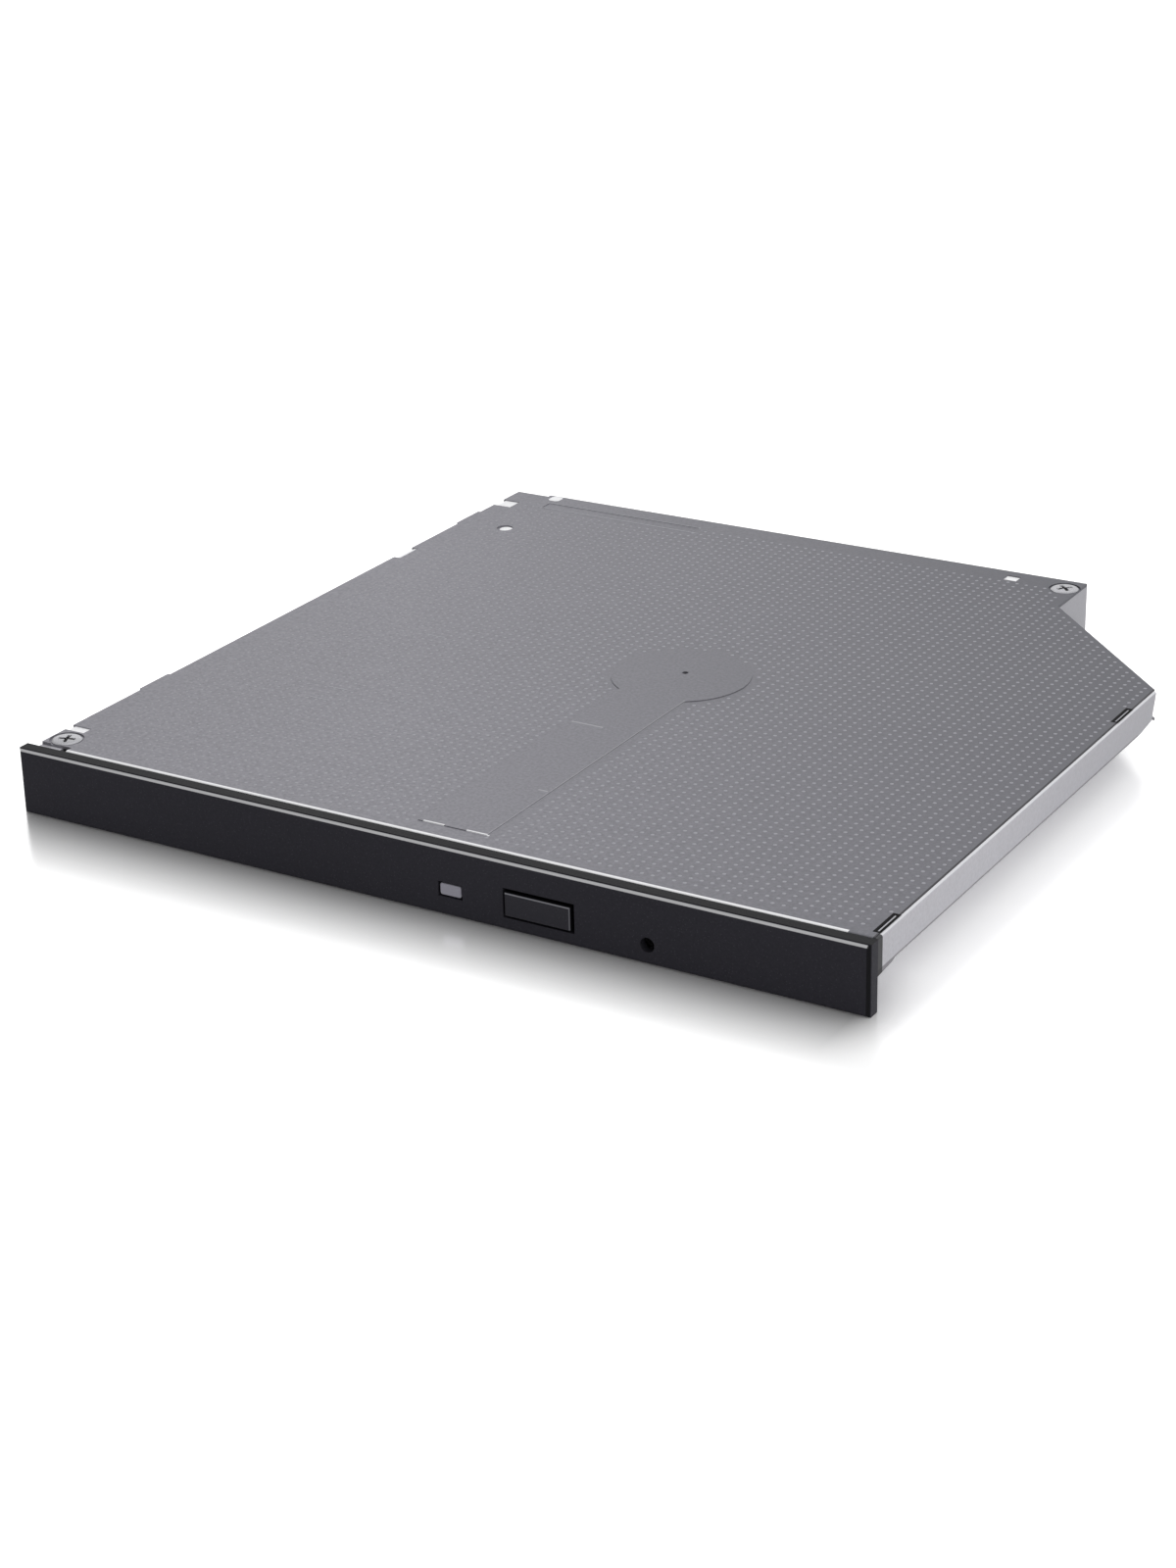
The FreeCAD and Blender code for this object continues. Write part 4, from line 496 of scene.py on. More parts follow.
def grown(name, tree, base, values):
    # the plain mesh that a tree makes on a base mesh
    holder = linked(name, base)
    modifier = holder.modifiers.new(name, "NODES")
    modifier.node_group = tree
    sockets = {item.name: item.identifier for item in tree.interface.items_tree if item.in_out == "INPUT"}
    for label, value in values.items():
        modifier[sockets[label]] = value
    graph = bpy.context.evaluated_depsgraph_get()
    mesh = bpy.data.meshes.new_from_object(holder.evaluated_get(graph), depsgraph=graph)
    mesh.name = name
    bpy.data.objects.remove(holder)
    return mesh


def pointMesh(name, points):
    mesh = bpy.data.meshes.new(name)
    mesh.from_pydata([tuple(point) for point in points], [], [])
    return mesh


# Raised dots of the cover: a grid, kept where the plain sheet lies under it

coverDots = {
    "pitch": 1.5,
    "left": -58.0,
    "front": 5.2,
    "columns": 82,
    "rows": 79,
    "radius": 0.27,
    "height": 0.04,
    "corners": 7,
    "topShare": 0.55,      # radius of a dot's top, as a share
    "sheetLevel": 9.4,
    "levelWithin": 0.02,
    "margin": 0.6,
    "fadeLeft": 0.62,      # size of the dots at the far left, as a share
    "fadeEnd": -15.0,      # they have their full size from here
}


def coverDotsTree():
    tree, given, end = growTree("coverDots", [
        ("Cover", objectSocket, None), ("Pitch", numberSocket, 0.0015), ("Left", numberSocket, 0.0),
        ("Front", numberSocket, 0.0), ("Columns", wholeSocket, 10), ("Rows", wholeSocket, 10),
        ("Dot Radius", numberSocket, 0.0002), ("Dot Height", numberSocket, 0.00005),
        ("Level", numberSocket, 0.0094), ("Margin", numberSocket, 0.0007), ("Left Size", numberSocket, 1.0),
        ("Fade End", numberSocket, 0.0), ("Finish", materialSocket, None)])
    sizeX = mathNode(tree, "MULTIPLY", mathNode(tree, "SUBTRACT", given["Columns"], 1.0), given["Pitch"])
    sizeY = mathNode(tree, "MULTIPLY", mathNode(tree, "SUBTRACT", given["Rows"], 1.0), given["Pitch"])
    grid = newNode(tree, "GeometryNodeMeshGrid", {
        "Size X": sizeX, "Size Y": sizeY, "Vertices X": given["Columns"], "Vertices Y": given["Rows"]})
    shift = newNode(tree, "ShaderNodeCombineXYZ", {
        "X": mathNode(tree, "ADD", given["Left"], mathNode(tree, "MULTIPLY", sizeX, 0.5)),
        "Y": mathNode(tree, "ADD", given["Front"], mathNode(tree, "MULTIPLY", sizeY, 0.5)),
        "Z": given["Level"]})
    moved = newNode(tree, "GeometryNodeSetPosition", {
        "Geometry": grid.outputs["Mesh"], "Offset": shift.outputs["Vector"]})
    sheet = newNode(tree, "GeometryNodeObjectInfo", {"Object": given["Cover"]}, transform_space="ORIGINAL")
    place = newNode(tree, "GeometryNodeInputPosition").outputs["Position"]
    kept = 1.0
    # a dot stays where the sheet lies level under it and all round it
    for toRight, toRear in ((0, 0), (1, 0), (-1, 0), (0, 1), (0, -1)):
        aside = newNode(tree, "ShaderNodeCombineXYZ", {
            "X": mathNode(tree, "MULTIPLY", given["Margin"], toRight),
            "Y": mathNode(tree, "MULTIPLY", given["Margin"], toRear), "Z": mm})
        both = {0: place, 1: aside.outputs["Vector"]}
        source = newNode(tree, "ShaderNodeVectorMath", both, operation="ADD")
        ray = newNode(tree, "GeometryNodeRaycast", {
            "Target Geometry": sheet.outputs["Geometry"], "Source Position": source.outputs["Vector"],
            "Ray Direction": (0, 0, -1), "Ray Length": 1.5 * mm}, data_type="FLOAT")
        gap = mathNode(tree, "ABSOLUTE", mathNode(tree, "SUBTRACT", ray.outputs["Hit Distance"], mm))
        good = mathNode(tree, "LESS_THAN", gap, coverDots["levelWithin"] * mm)
        kept = mathNode(tree, "MULTIPLY", kept, mathNode(tree, "MULTIPLY", good, ray.outputs["Is Hit"]))
    placeX = newNode(tree, "ShaderNodeSeparateXYZ", {"Vector": place}).outputs["X"]
    ramp = newNode(tree, "ShaderNodeMapRange", {
        "Value": placeX, "From Min": given["Left"], "From Max": given["Fade End"],
        "To Min": given["Left Size"]})
    dome = newNode(tree, "GeometryNodeMeshCone", {
        "Vertices": coverDots["corners"], "Radius Bottom": given["Dot Radius"], "Depth": given["Dot Height"],
        "Radius Top": mathNode(tree, "MULTIPLY", given["Dot Radius"], coverDots["topShare"])},
        fill_type="NGON")
    dots = newNode(tree, "GeometryNodeInstanceOnPoints", {
        "Points": moved.outputs["Geometry"], "Selection": kept, "Instance": dome.outputs["Mesh"],
        "Scale": ramp.outputs["Result"]})
    closeTree(tree, dots, given["Finish"], end)
    return tree


sheetTop = coverDots["sheetLevel"]
first = spot(coverDots["left"], coverDots["front"], sheetTop)
dotsMesh = grown("coverDots", coverDotsTree(), pointMesh("dotSeed", [(0, 0, 0)]), {
    "Cover": nodes["top_cover"], "Pitch": coverDots["pitch"] * mm, "Left": first.x, "Front": first.y,
    "Columns": coverDots["columns"], "Rows": coverDots["rows"], "Dot Radius": coverDots["radius"] * mm,
    "Dot Height": coverDots["height"] * mm, "Level": first.z, "Margin": coverDots["margin"] * mm,
    "Left Size": coverDots["fadeLeft"], "Fade End": coverDots["fadeEnd"] * mm,
    "Finish": materials["dotSheet"]})
pieceFrom("coverDots", dotsMesh, "dotSheet", "case")
print("cover dots:", len(dotsMesh.polygons), "faces")


# Small raised and pressed marks on the cover

coverMarks = {
    "faint": (             # middle x, middle y, length, turn in degrees
        (-38.2, 38.6, 3.0, 0), (-38.2, 34.2, 3.0, 0), (-26.5, 38.6, 2.6, 0), (-37.5, 62.5, 3.0, 0),
        (-19.0, 38.6, 2.4, 0), (-40.9, 120.9, 28.2, 0)),
    "width": 0.26,
    "lift": 0.035,
    "endShare": 0.35,      # how far the ends stand out, as a share of half the width
    "sides": 16,
}


def barMesh(form):
    # a bar one millimetre long with round ends and a bevelled top, to be stretched along x
    shape = bmesh.new()
    rings = []
    for inset, rise in ((0.0, 0.0), (0.0, 0.6), (0.25, 1.0)):
        half = form["width"] / 2 * (1 - inset)
        ring = []
        for n in range(form["sides"]):
            x, y = around(n, form["sides"])
            end = math.copysign(0.5, x)
            point = Vector((end + half * form["endShare"] * x, half * y, form["lift"] * rise))
            ring.append(shape.verts.new(point * mm))
        rings.append(ring)
    skin(shape, rings)
    return meshFrom("markBar", shape)


def repeatTree():
    # puts one shape at each point, with the point's own turn and stretch
    tree, given, end = growTree("repeatShape", [
        ("Shape", objectSocket, None), ("Finish", materialSocket, None)])
    sample = newNode(tree, "GeometryNodeObjectInfo", {"Object": given["Shape"]}, transform_space="ORIGINAL")
    turn = newNode(tree, "GeometryNodeInputNamedAttribute", {"Name": "turn"}, data_type="FLOAT_VECTOR")
    stretch = newNode(tree, "GeometryNodeInputNamedAttribute", {"Name": "stretch"}, data_type="FLOAT_VECTOR")
    turned = newNode(tree, "FunctionNodeEulerToRotation", {"Euler": turn.outputs["Attribute"]})
    copies = newNode(tree, "GeometryNodeInstanceOnPoints", {
        "Points": given["Geometry"], "Instance": sample.outputs["Geometry"],
        "Rotation": turned.outputs["Rotation"], "Scale": stretch.outputs["Attribute"]})
    closeTree(tree, copies, given["Finish"], end)
    return tree


repeatShape = repeatTree()


def repeated(name, sampleMesh, places, finishName):
    # places holds (point, turn about z in degrees, stretch per axis)
    seed = pointMesh(name + "Points", [place for place, turn, stretch in places])
    turns = seed.attributes.new("turn", "FLOAT_VECTOR", "POINT")
    stretches = seed.attributes.new("stretch", "FLOAT_VECTOR", "POINT")
    for n, (place, turn, stretch) in enumerate(places):
        turns.data[n].vector = (0, 0, math.radians(turn))
        stretches.data[n].vector = stretch
    sample = linked(name + "Shape", sampleMesh)
    bpy.context.view_layer.update()
    mesh = grown(name, repeatShape, seed, {"Shape": sample, "Finish": materials[finishName]})
    bpy.data.objects.remove(sample)
    return mesh


markSpots = [(spot(x, y, sheetTop), turn, (length, 1, 1)) for x, y, length, turn in coverMarks["faint"]]
pieceFrom("coverFaintMarks", repeated("coverFaintMarks", barMesh(coverMarks), markSpots, "dotSheet"),
          "dotSheet", "case")


# Painted shade: dark frames round the slots where the wall's hooks come up through the cover

hookFrames = {"starts": (4.1, 77.3), "length": 5.2, "right": 63.34, "slot": 0.75, "line": 0.36, "lift": 0.02,
              "rim": 0.2, "rightRim": 0.1}


def frameShape(shape, low, high, line, bottom, top):
    # a flat rectangular frame between two levels, in metres
    def ring(inset, level):
        left, right, near, far = low.x + inset, high.x - inset, low.y + inset, high.y - inset
        corners = ((left, near), (right, near), (right, far), (left, far))
        return [shape.verts.new((x, y, level)) for x, y in corners]

    foot = ring(0, bottom)
    skin(shape, [foot, ring(0, top), ring(line, top), ring(line, bottom), foot], ends=False)


def hookShadeMesh(form):
    shape = bmesh.new()
    for start in form["starts"]:
        low = spot(form["right"] - form["slot"] - form["rim"], start - form["rim"], 0)
        high = spot(form["right"] + form["rightRim"], start + form["length"] + form["rim"], 0)
        frameShape(shape, low, high, form["line"] * mm, (sheetTop - form["lift"]) * mm,
                   (sheetTop + form["lift"]) * mm)
    return meshFrom("hookFrames", shape)


pieceFrom("hookFrames", hookShadeMesh(hookFrames), "seamShade", "case")


# Tabs of the case under the cover's notches, white as painted light of the bright backdrop that shows through
# the notches, and a ground mark

notchTabs = {
    "limits": ((-62.4, -59.2, 8.4, 10.5), (-62.4, -59.3, 118.4, 121.8), (-62.4, -61.4, 89.0, 94.4),
               (25.9, 28.7, 122.8, 125.4)),
    "low": 8.9,
    "high": 9.28,
    "corner": 0.25,
    "bevel": 0.06,
    "arcSteps": 4,
}
groundMark = {"limits": ((-56.2, -54.2, 124.6, 126.8),), "low": sheetTop - 0.02, "high": sheetTop + 0.03,
              "corner": 0.7, "bevel": 0.02, "arcSteps": 4}


def slabMesh(name, form, facing="up"):
    # slabs with rounded corners and one bevelled face, which looks up or towards the front
    shape = bmesh.new()
    corner, bevel, low, high = form["corner"], form["bevel"], form["low"], form["high"]
    for left, right, near, far in form["limits"]:
        rings = []
        for inset, level in ((0, low), (0, high - bevel), (bevel, high)):
            ring = []
            for quarter, (x, y) in enumerate(((right, far), (left, far), (left, near), (right, near))):
                inX = x - math.copysign(corner, x - (left + right) / 2)
                inY = y - math.copysign(corner, y - (near + far) / 2)
                for n in range(form["arcSteps"] + 1):
                    outX, outY = around(quarter * form["arcSteps"] + n, 4 * form["arcSteps"])
                    a, b = inX + (corner - inset) * outX, inY + (corner - inset) * outY
                    ring.append(shape.verts.new(spot(a, b, level) if facing == "up" else spot(a, -level, b)))
            rings.append(ring)
        skin(shape, rings)
    return meshFrom(name, shape)


pieceFrom("notchTabs", slabMesh("notchTabs", notchTabs), "whiteAndHighlight", "case")
pieceFrom("groundMark", slabMesh("groundMark", groundMark), "whiteAndHighlight", "case")


# A low stud pressed up out of the sheet, white all over as a painted highlight where the dimple catches the
# light

pressedStud = {"x": -54.5, "y": 109.2, "radius": 1.12, "foot": 9.18, "seat": 9.2, "top": 9.4, "arcSteps": 8,
               "steps": 28}


def studMesh(form):
    profile = [(0, form["foot"]), (form["radius"], form["foot"])]
    for n in range(form["arcSteps"] + 1):
        out, up = around(n, 4 * form["arcSteps"])
        profile.append((form["radius"] * out, form["seat"] + (form["top"] - form["seat"]) * up))
    shape = spun(profile, form["steps"])
    bmesh.ops.translate(shape, verts=shape.verts, vec=spot(form["x"], form["y"], 0))
    return meshFrom("pressedStud", shape, smooth=True)


pieceFrom("pressedStud", studMesh(pressedStud), "whiteAndHighlight", "case")


# Lamp lens: a light pipe with rounded corners, set a little back in its window

lampLens = {"limits": ((4.1, 7.22, 2.86, 4.44),), "low": -3.2, "high": -0.06, "corner": 0.3, "bevel": 0.08,
            "arcSteps": 4}
pieceFrom("lensPipe", slabMesh("lensPipe", lampLens, facing="front"), "lens_clear", "tray",
          stands=("lamp_lens",))
print("cover marks, tabs and lens done")


# Screws with a domed head and a cross recess

crossHead = {"radius": 2.1, "height": 0.42, "dome": 0.16, "crown": 0.8, "recess": 1.15, "slotWidth": 0.42,
             "pit": 0.378, "recessDepth": 0.3, "recessSlope": 0.35, "steps": 48}


def crossHeadMesh(head):
    # rings from the foot over the rim to the middle; the points inside the cross are pressed down
    shape = bmesh.new()
    rings = [[shape.verts.new((0, 0, 0))]]
    profile = [(1.0, 0.0, 0.0), (1.0, 0.55, 0.0), (0.93, 0.9, 0.0)]    # shares of radius, height and dome
    profile += [(share, 1.0, 1.0) for share in (0.84, 0.72, 0.6, 0.5, 0.4, 0.3, 0.2, 0.1)]
    for share, rise, crowned in profile:
        ring = []
        for n in range(head["steps"]):
            x, y = (head["radius"] * share * part for part in around(n + 0.5, head["steps"]))
            z = head["height"] * rise + head["dome"] * (head["crown"] - share * share) * crowned
            inArm = min(abs(x), abs(y)) < head["slotWidth"] / 2 and max(abs(x), abs(y)) < head["recess"]
            if inArm or math.hypot(x, y) < head["pit"]:
                z -= head["recessDepth"] * (1 - head["recessSlope"] * math.hypot(x, y) / head["recess"])
            ring.append(shape.verts.new((x * mm, y * mm, z * mm)))
        rings.append(ring)
    bottom = head["height"] + head["dome"] * head["crown"] - head["recessDepth"]
    rings.append([shape.verts.new((0, 0, bottom * mm))])
    skin(shape, rings, ends=False)
    return meshFrom("crossHead", shape)


screwHead = crossHeadMesh(crossHead)


screwShank = {"core": 0.82, "into": 0.02, "ridges": 3, "steps": 20}    # ridges: the least number


def shankMesh(radius, length, pitch):
    # a threaded shank that hangs below the head, as a stack of ridges
    core, into = radius * screwShank["core"], screwShank["into"]
    count = max(screwShank["ridges"], int(length / pitch))
    profile = [(0, -length)]
    for n in range(count):
        low = -length + n * length / count
        profile += [(core, low), (radius, low + 0.5 * length / count)]
    profile += [(core, into), (0, into)]
    return meshFrom("shank", spun(profile, screwShank["steps"]))


spindle = {"x": 2.5, "y": 65.2}


def mechanism(u, v, z):
    # a point measured from the spindle along (u) and across (v) the pick-up's travel
    slant = math.sqrt(0.5)
    return spot(spindle["x"] - slant * u + slant * v, spindle["y"] - slant * u - slant * v, z)


def screwSet(name, body, node, heads, shank, places):
    # heads: radius share and height share of the cross head; places: points of the head's seat, with turns
    stretch = (heads[0], heads[0], heads[1])
    headSpots = [(place, turn, stretch) for place, turn in places]
    shankSpots = [(place, turn, (1, 1, 1)) for place, turn in places]
    headMesh = repeated(name, screwHead, headSpots, "screwSteel")
    shanks = repeated(name + "Shanks", shankMesh(*shank), shankSpots, "threadSteel")
    shape = bmesh.new()
    shape.from_mesh(headMesh)
    for face in shape.faces:
        # faces inside the cross are in shade
        middle = face.calc_center_median()
        place, turn = min(places, key=lambda item: (item[0].xy - middle.xy).length)
        offset = Matrix.Rotation(-math.radians(turn), 2) @ (middle.xy - place.xy) / mm / heads[0]
        thin, far = sorted((abs(offset.x), abs(offset.y)))
        if thin < crossHead["slotWidth"] / 2 and far < crossHead["recess"]:
            face.material_index = 2
    count = len(shape.faces)
    shape.from_mesh(shanks)
    shape.faces.ensure_lookup_table()
    for face in shape.faces[count:]:
        face.material_index = 1
    mesh = bpy.data.meshes.new(name)
    shape.to_mesh(mesh)
    shape.free()
    for finishName in ("screwSteel", "threadSteel", "seamShade"):
        mesh.materials.append(materials[finishName])
    pieceFrom(name, mesh, "screwSteel", body, stands=(node,))


damperSeat = 2.2
damperSpots = [mechanism(u, v, damperSeat) for u, v in ((-6.0, -24.6), (-6.0, 21.6), (69.7, -1.0))]
screwSet("coverScrewSet", "case", "cover_screws", (1.0, 0.55), (0.7, 1.5, 0.3),
         [(spot(-60.3, 5.9, 9.2), 20), (spot(36.2, 123.5, 9.2), 48)])
screwSet("deckScrewSet", "tray", "deck_screws", (0.36, 0.42), (0.3, 0.24, 0.08),
         [(mechanism(-14.9, 11.0, 6.55), 10), (mechanism(43.5, -21.5, 6.55), 35),
          (mechanism(43.5, 18.5, 6.55), 60)])
screwSet("boardScrewSet", "tray", "board_screws", (0.8, -0.82), (0.7, -2.0, 0.25),
         [(spot(-53.94, 80.9, 2.2), 15), (spot(8.0, 103.9, 2.2), 52)])
screwSet("damperScrewSet", "tray", "damper_screws", (1.0, -0.82), (0.7, -3.45, 0.3),
         [(place, 25 * n) for n, place in enumerate(damperSpots)])
print("screws done")


# Rubber dampers: two bulging collars with a waist for the mechanism's frame

damper = {"outer": 2.5, "waist": 1.8, "bore": 0.8, "low": 3.0, "high": 3.6, "top": 5.0, "wall": 0.02,
          "chamfer": (0.15, 0.12), "bulge": 0.1, "ridge": 0.08, "lowSteps": 6, "highSteps": 9, "steps": 32}


def damperMesh(form):
    bore, low, high, top = form["bore"], form["low"], form["high"], form["top"]
    rim, drop = form["chamfer"]

    def collar(start, end, steps):
        # three fine ridges on a bulge
        points = []
        for share in (n / steps for n in range(steps + 1)):
            reach = form["outer"] * (1 - form["bulge"] + form["bulge"] * math.sin(math.pi * share))
            ridge = form["ridge"] * math.sin(3 * math.pi * share) ** 2
            points.append((reach - ridge, start + share * (end - start)))
        return points

    profile = [(bore, damperSeat + drop), (bore + rim, damperSeat)]
    profile += collar(damperSeat, low, form["lowSteps"])
    profile += [(form["waist"], low + form["wall"]), (form["waist"], high - form["wall"])]
    profile += collar(high, top, form["highSteps"])
    profile += [(bore + rim, top), (bore, top - drop), profile[0]]
    return meshFrom("damper", spun([(radius, z - damperSeat) for radius, z in profile], form["steps"]))


damperPlaces = [(place, 0, (1, 1, 1)) for place in damperSpots]
pieceFrom("damperSet", repeated("damperSet", damperMesh(damper), damperPlaces, "rubber"), "rubber", "tray",
          stands=("rubber_dampers",))


# Lead screw with a real helical thread

leadScrew = {"start": 10.7, "threadEnd": 58.1, "end": 60.1, "side": -19.2, "level": 3.9, "radius": 0.9,
             "core": 0.66, "journal": 0.55, "lead": 3.0, "starts": 2, "crest": 1.5, "steps": 24,
             "perTurn": 14}


def leadScrewMesh(form):
    shape = bmesh.new()
    aside = (mechanism(0, 1, 0) - mechanism(0, 0, 0)) / mm
    length = form["threadEnd"] - form["start"]
    count = int(length / form["lead"] * form["perTurn"])
    places = [(form["start"], False)]
    places += [(form["start"] + length * n / count, True) for n in range(count + 1)]
    places += [(form["threadEnd"], False), (form["end"], False)]
    rings = []
    for u, threaded in places:
        middle = mechanism(u, form["side"], form["level"])
        ring = []
        for n in range(form["steps"]):
            sideways, up = around(n, form["steps"])
            # the thread's height follows a wave with a flattened crest
            wave = around(form["starts"] * (n / form["steps"] - u / form["lead"]), 1)[0]
            share = min(1.0, (0.5 + 0.5 * wave) * form["crest"])
            radius = form["core"] + (form["radius"] - form["core"]) * share if threaded else form["journal"]
            ring.append(shape.verts.new(middle + (aside * sideways + Vector((0, 0, up))) * radius * mm))
        rings.append(ring)
    skin(shape, rings)
    return meshFrom("leadScrewThread", shape)


pieceFrom("leadScrewThread", leadScrewMesh(leadScrew), "threadSteel", "screw",
          stands=("lead_screw",))
print("lead screw and dampers done")


# Ejector spring: a wire helix with closed ends

spring = {"x": 22.0, "level": 3.6, "front": 101.46, "rear": 111.65, "radius": 1.25, "wire": 0.14, "turns": 8,
          "closed": 0.75, "perTurn": 28, "wireSides": 8}


def springMesh(form):
    front, rear = form["front"] + form["wire"], form["rear"] - form["wire"]
    pitch = 2 * form["wire"]    # of the end turns, which lie flat against their seats
    free = rear - front - 2 * pitch * form["closed"]

    def centre(n):
        turned = n / form["perTurn"]
        share = max(0.0, min(1.0, (turned - form["closed"]) / (form["turns"] - 2 * form["closed"])))
        flat = min(turned, form["closed"]) + max(0.0, turned - form["turns"] + form["closed"])
        out, up = around(turned, 1)
        return spot(form["x"] + form["radius"] * out, front + pitch * flat + share * free,
                    form["level"] + form["radius"] * up)

    shape = bmesh.new()
    rings = []
    for n in range(form["turns"] * form["perTurn"] + 1):
        middle = centre(n)
        ahead = (centre(n + 1) - centre(n - 1)).normalized()
        outward = (middle - Vector((form["x"] * mm, middle.y, form["level"] * mm))).normalized()
        side = ahead.cross(outward).normalized()
        ring = []
        for k in range(form["wireSides"]):
            out, along = around(k, form["wireSides"])
            ring.append(shape.verts.new(middle + (outward * out + side * along) * form["wire"] * mm))
        rings.append(ring)
    skin(shape, rings)
    return meshFrom("ejectorCoil", shape, smooth=True)


coil = linked("ejectorCoil", springMesh(spring))
coil.data.materials.append(materials["springSteel"])
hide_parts("ejector_spring")
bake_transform(coil)


# Flat flexes: a thin film with raised conductors side by side

conductorLine = ((0.0, 0), (0.12, 1), (0.48, 1), (0.6, 0))    # place across one pitch, and share of the rise


def ribbonMesh(name, form, stations):
    # each station holds a middle point, the way across and the way up
    half = form["width"] / 2
    pitch = form["width"] / (form["conductors"] + conductorLine[-1][0])
    line = [(-half, 0.0)]
    for n in range(form["conductors"]):
        line += [(-half + (n + 0.5 + place) * pitch, share * form["rise"]) for place, share in conductorLine]
    line.append((half, 0.0))
    shape = bmesh.new()
    rings = []
    for middle, aside, up in stations:
        tops = [middle + (aside * place + up * (form["film"] / 2 + lift)) * mm for place, lift in line]
        lows = [middle + (aside * place - up * (form["film"] / 2 + lift)) * mm for place, lift in line[::-1]]
        rings.append([shape.verts.new(point) for point in tops + lows])
    size = len(rings[0])
    for count, face in enumerate(skin(shape, rings)):
        # every fourth face across is the top of a conductor
        place = min(count % size, size - 2 - count % size)
        face.material_index = 1 if place % 4 == 2 else 0
    mesh = meshFrom(name, shape)
    mesh.materials.append(materials["flex_film"])
    mesh.materials.append(materials["contact_gold"])
    return mesh


def smoothShare(value):
    # how far along a blend a given share of the travel is reached
    low, high = 0.0, 1.0
    for n in range(40):
        middle = (low + high) / 2
        if middle * middle * (3 - 2 * middle) < value:
            low = middle
        else:
            high = middle
    return (low + high) / 2


# The folded cable between case and tray

foldedFlex = {"middle": -42.84, "width": 20.0, "conductors": 20, "film": 0.11, "rise": 0.02, "lower": 0.505,
              "upper": 0.975, "bend": 42.0, "caseEnd": 110.9, "trayEnd": 104.9, "foldShare": 0.7,
              "straightSteps": 24, "quarterSteps": 6}


def addFoldedFlex(form):
    middleLevel = (form["lower"] + form["upper"]) / 2
    bendRadius = (form["upper"] - form["lower"]) / 2
    steps, quarter, bend = form["straightSteps"], form["quarterSteps"], form["bend"]

    def folded(n):
        # a point of the fold and its slope, from 0 on the lower run to twice the quarter on the upper one
        angle = math.pi / 2 * n / quarter
        return bend - bendRadius * math.sin(angle), middleLevel - bendRadius * math.cos(angle), -angle

    lowerPath = [(form["caseEnd"] + (bend - form["caseEnd"]) * n / steps, form["lower"], 0.0)
                 for n in range(steps)]
    lowerPath += [folded(n) for n in range(quarter + 1)]
    upperPath = [folded(n) for n in range(quarter, 2 * quarter)]
    upperPath += [(bend + (form["trayEnd"] - bend) * n / steps, form["upper"], -math.pi)
                  for n in range(steps + 1)]
    reached = smoothShare(form["foldShare"])
    lowerSpan = (form["caseEnd"] - bend) / reached
    upperSpan = (form["trayEnd"] - bend) / (1 - reached)
    runs = {"lowerFlex": (lowerPath, form["caseEnd"], form["caseEnd"] - lowerSpan),
            "upperFlex": (upperPath, form["trayEnd"] - upperSpan, form["trayEnd"])}
    for name, (path, start, end) in runs.items():
        stations = [(spot(form["middle"], y, z), Vector(across),
                     Vector((0, -math.sin(slope), math.cos(slope)))) for y, z, slope in path]
        piece = linked(name, ribbonMesh(name, form, stations))
        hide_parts("flat_flex")
        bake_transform(piece)


addFoldedFlex(foldedFlex)


# The flat strip with mitred corners on the shield

frontFlex = {"corners": ((22.25, 7.0), (31.5, 7.0), (31.5, 100.9), (13.9, 100.9)), "width": 4.0,
             "level": 1.475, "conductors": 8, "film": 0.13, "rise": 0.01}


def addFrontFlex(form):
    corners = [Vector(corner) for corner in form["corners"]]
    asides = []
    for start, end in zip(corners, corners[1:]):
        ahead = (end - start).normalized()
        asides.append(Vector((-ahead.y, ahead.x, 0)))
    turned = [asides[0]] + [before + after for before, after in zip(asides, asides[1:])] + [asides[-1]]
    stations = [(spot(corner.x, corner.y, form["level"]), aside, Vector(upwards))
                for corner, aside in zip(corners, turned)]
    pieceFrom("frontFilm", ribbonMesh("frontFilm", form, stations), "flex_film", "tray",
              stands=("front_flex",))


addFrontFlex(frontFlex)
print("spring and flexes done")


# Floor and backdrop

studio = {
    "floorSize": 6.0,
    "floorSteps": 12,
    "curveFrom": 1.8,      # behind the object the floor curves up
    "curve": 1.2,
    "floorTone": 0.93,
    "seenTone": 2.0,       # how light the floor looks to the camera
    "mirroredTone": 1.0,   # and in the reflections on the object
    "addedWhite": 0.02,
    "farWhite": 0.7,       # added far from the object, where the lamps no longer reach
    "whiteFrom": 0.35,
    "whiteFull": 1.4,
    "mirror": 0.4,         # share of the floor that reflects, like a glossy tabletop
    "mirrorNear": 0.82,    # the same along the foot of the panel
    "mirrorSide": 0.068,
    "fade": 0.013,
    "sideFade": 0.006,
    "mirrorBlur": 0.2,
    "level": -0.00003,     # a hair under the object
    "under": (0.0636, 0.063),
    "underSoft": 0.0005,
    "airSeen": 1.0,
    "ambient": 0.4,
}


def openFloor(tree, toCamera):
    # seen from below the floor is clear, and light from below reaches the underside of the object
    beneath = 1.0
    for axis, half in zip((across, backwards), studio["under"]):
        beneath = mathNode(tree, "MULTIPLY", beneath, bandMask(tree, axis, -half, half, studio["underSoft"]))
    hidden = mathNode(tree, "MULTIPLY", beneath, mathNode(tree, "SUBTRACT", 1.0, toCamera))
    return mathNode(tree, "MAXIMUM", hidden, newNode(tree, "ShaderNodeNewGeometry").outputs["Backfacing"])


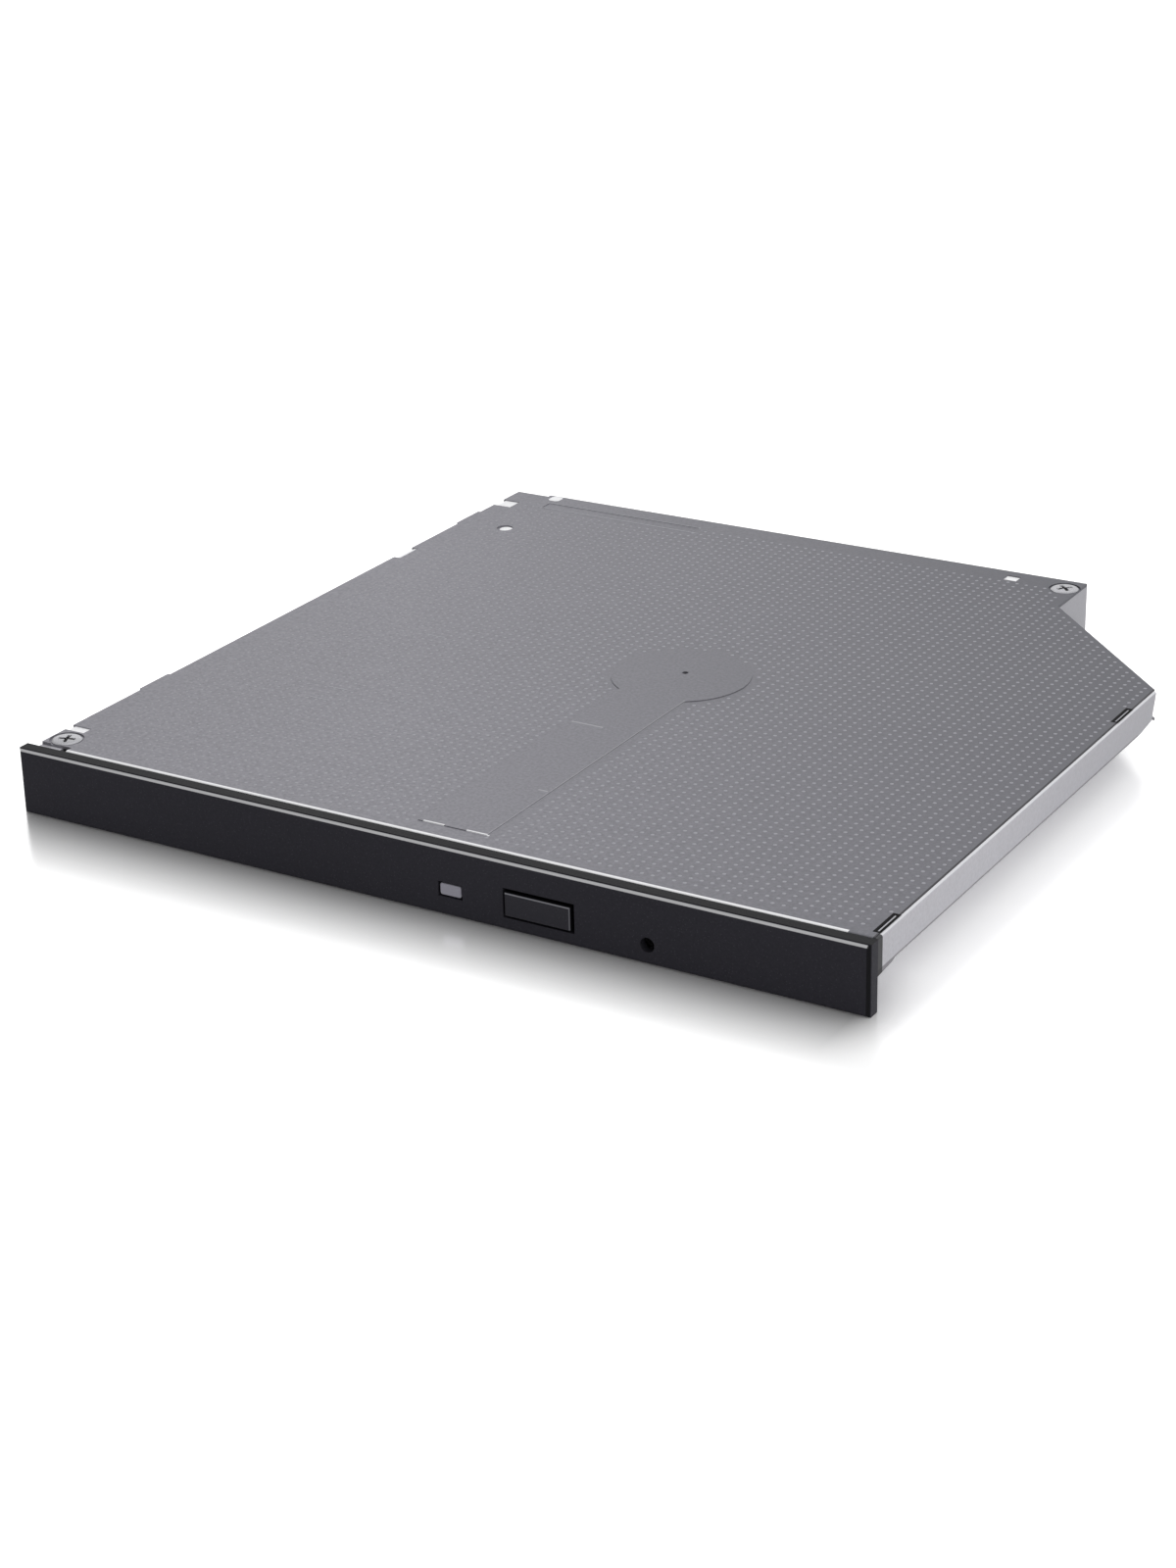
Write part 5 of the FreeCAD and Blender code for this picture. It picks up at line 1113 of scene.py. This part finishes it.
def mirrorShare(tree):
    # the floor mirrors most along the panel's foot and fades away from it
    foot, fade, side = -panelToMiddle * mm, studio["fade"], studio["mirrorSide"]
    near = mathNode(tree, "MULTIPLY", bandMask(tree, backwards, foot - fade, foot + fade, fade),
                    bandMask(tree, across, -side, side, studio["sideFade"]))
    return mathNode(tree, "ADD", mathNode(tree, "MULTIPLY", near, studio["mirrorNear"] - studio["mirror"]),
                    studio["mirror"])


def floorMesh():
    # the sheet lies flat, then curves up far behind the object
    shape = bmesh.new()
    size, steps = studio["floorSize"], studio["floorSteps"]
    places = [size * (n / steps - 0.5) for n in range(steps + 1)]
    rows = []
    for y in places:
        z = max(0.0, y - studio["curveFrom"]) ** 2 * studio["curve"] + studio["level"]
        rows.append([shape.verts.new((x, y, z)) for x in places])
    for near, far in zip(rows, rows[1:]):
        for n in range(steps):
            shape.faces.new((near[n], near[n + 1], far[n + 1], far[n]))
    sheet = meshFrom("studioFloor", shape)
    if sheet.polygons[0].normal.z < 0:
        sheet.flip_normals()
    return sheet


def floorPaper():
    material = bpy.data.materials.new("studioPaper")
    material.use_nodes = True
    tree = material.node_tree
    tree.nodes.remove(tree.nodes["Principled BSDF"])
    path = newNode(tree, "ShaderNodeLightPath").outputs
    toCamera = path["Is Camera Ray"]
    mirrored = mathNode(tree, "MAXIMUM", path["Is Glossy Ray"], path["Is Transmission Ray"])
    own = studio["floorTone"]
    tone = mathNode(tree, "ADD", mathNode(tree, "MULTIPLY", toCamera, studio["seenTone"] - own),
                    mathNode(tree, "MULTIPLY", mirrored, studio["mirroredTone"] - own))
    paper = newNode(tree, "ShaderNodeBsdfDiffuse", {"Color": mathNode(tree, "ADD", tone, own)})
    sheen = newNode(tree, "ShaderNodeBsdfGlossy", {"Roughness": studio["mirrorBlur"], "Color": white})
    glossy = newNode(tree, "ShaderNodeMixShader", {
        0: mirrorShare(tree), 1: paper.outputs[0], 2: sheen.outputs[0]})
    away = newNode(tree, "ShaderNodeVectorMath", {0: ownPlace(tree)}, operation="LENGTH")
    added = newNode(tree, "ShaderNodeMapRange", {
        "Value": away.outputs["Value"], "From Min": studio["whiteFrom"], "From Max": studio["whiteFull"],
        "To Min": studio["addedWhite"], "To Max": studio["farWhite"]})
    seen = mathNode(tree, "MAXIMUM", toCamera, mirrored)
    glow = newNode(tree, "ShaderNodeEmission", {
        "Strength": mathNode(tree, "MULTIPLY", seen, added.outputs["Result"])})
    lit = newNode(tree, "ShaderNodeAddShader", {0: glossy.outputs[0], 1: glow.outputs[0]})
    clear = newNode(tree, "ShaderNodeBsdfTransparent")
    surface = newNode(tree, "ShaderNodeMixShader", {
        0: openFloor(tree, toCamera), 1: lit.outputs[0], 2: clear.outputs[0]})
    fill(tree, tree.nodes["Material Output"], {"Surface": surface.outputs[0]})
    return material


def addFloor():
    floor = linked("studioFloor", floorMesh())
    floor.data.materials.append(floorPaper())


def addWorld():
    world = bpy.data.worlds.new("studioAir")
    world.use_nodes = True
    tree = world.node_tree
    path = newNode(tree, "ShaderNodeLightPath").outputs
    seen = mathNode(tree, "MAXIMUM", path["Is Camera Ray"], path["Is Transmission Ray"])
    strength = mathNode(tree, "MULTIPLY", seen, studio["airSeen"] - studio["ambient"])
    fill(tree, tree.nodes["Background"], {
        "Strength": mathNode(tree, "ADD", strength, studio["ambient"]), "Color": white})
    bpy.context.scene.world = world


addFloor()
addWorld()
bpy.context.scene.view_settings.view_transform = "Standard"
print("studio ready")
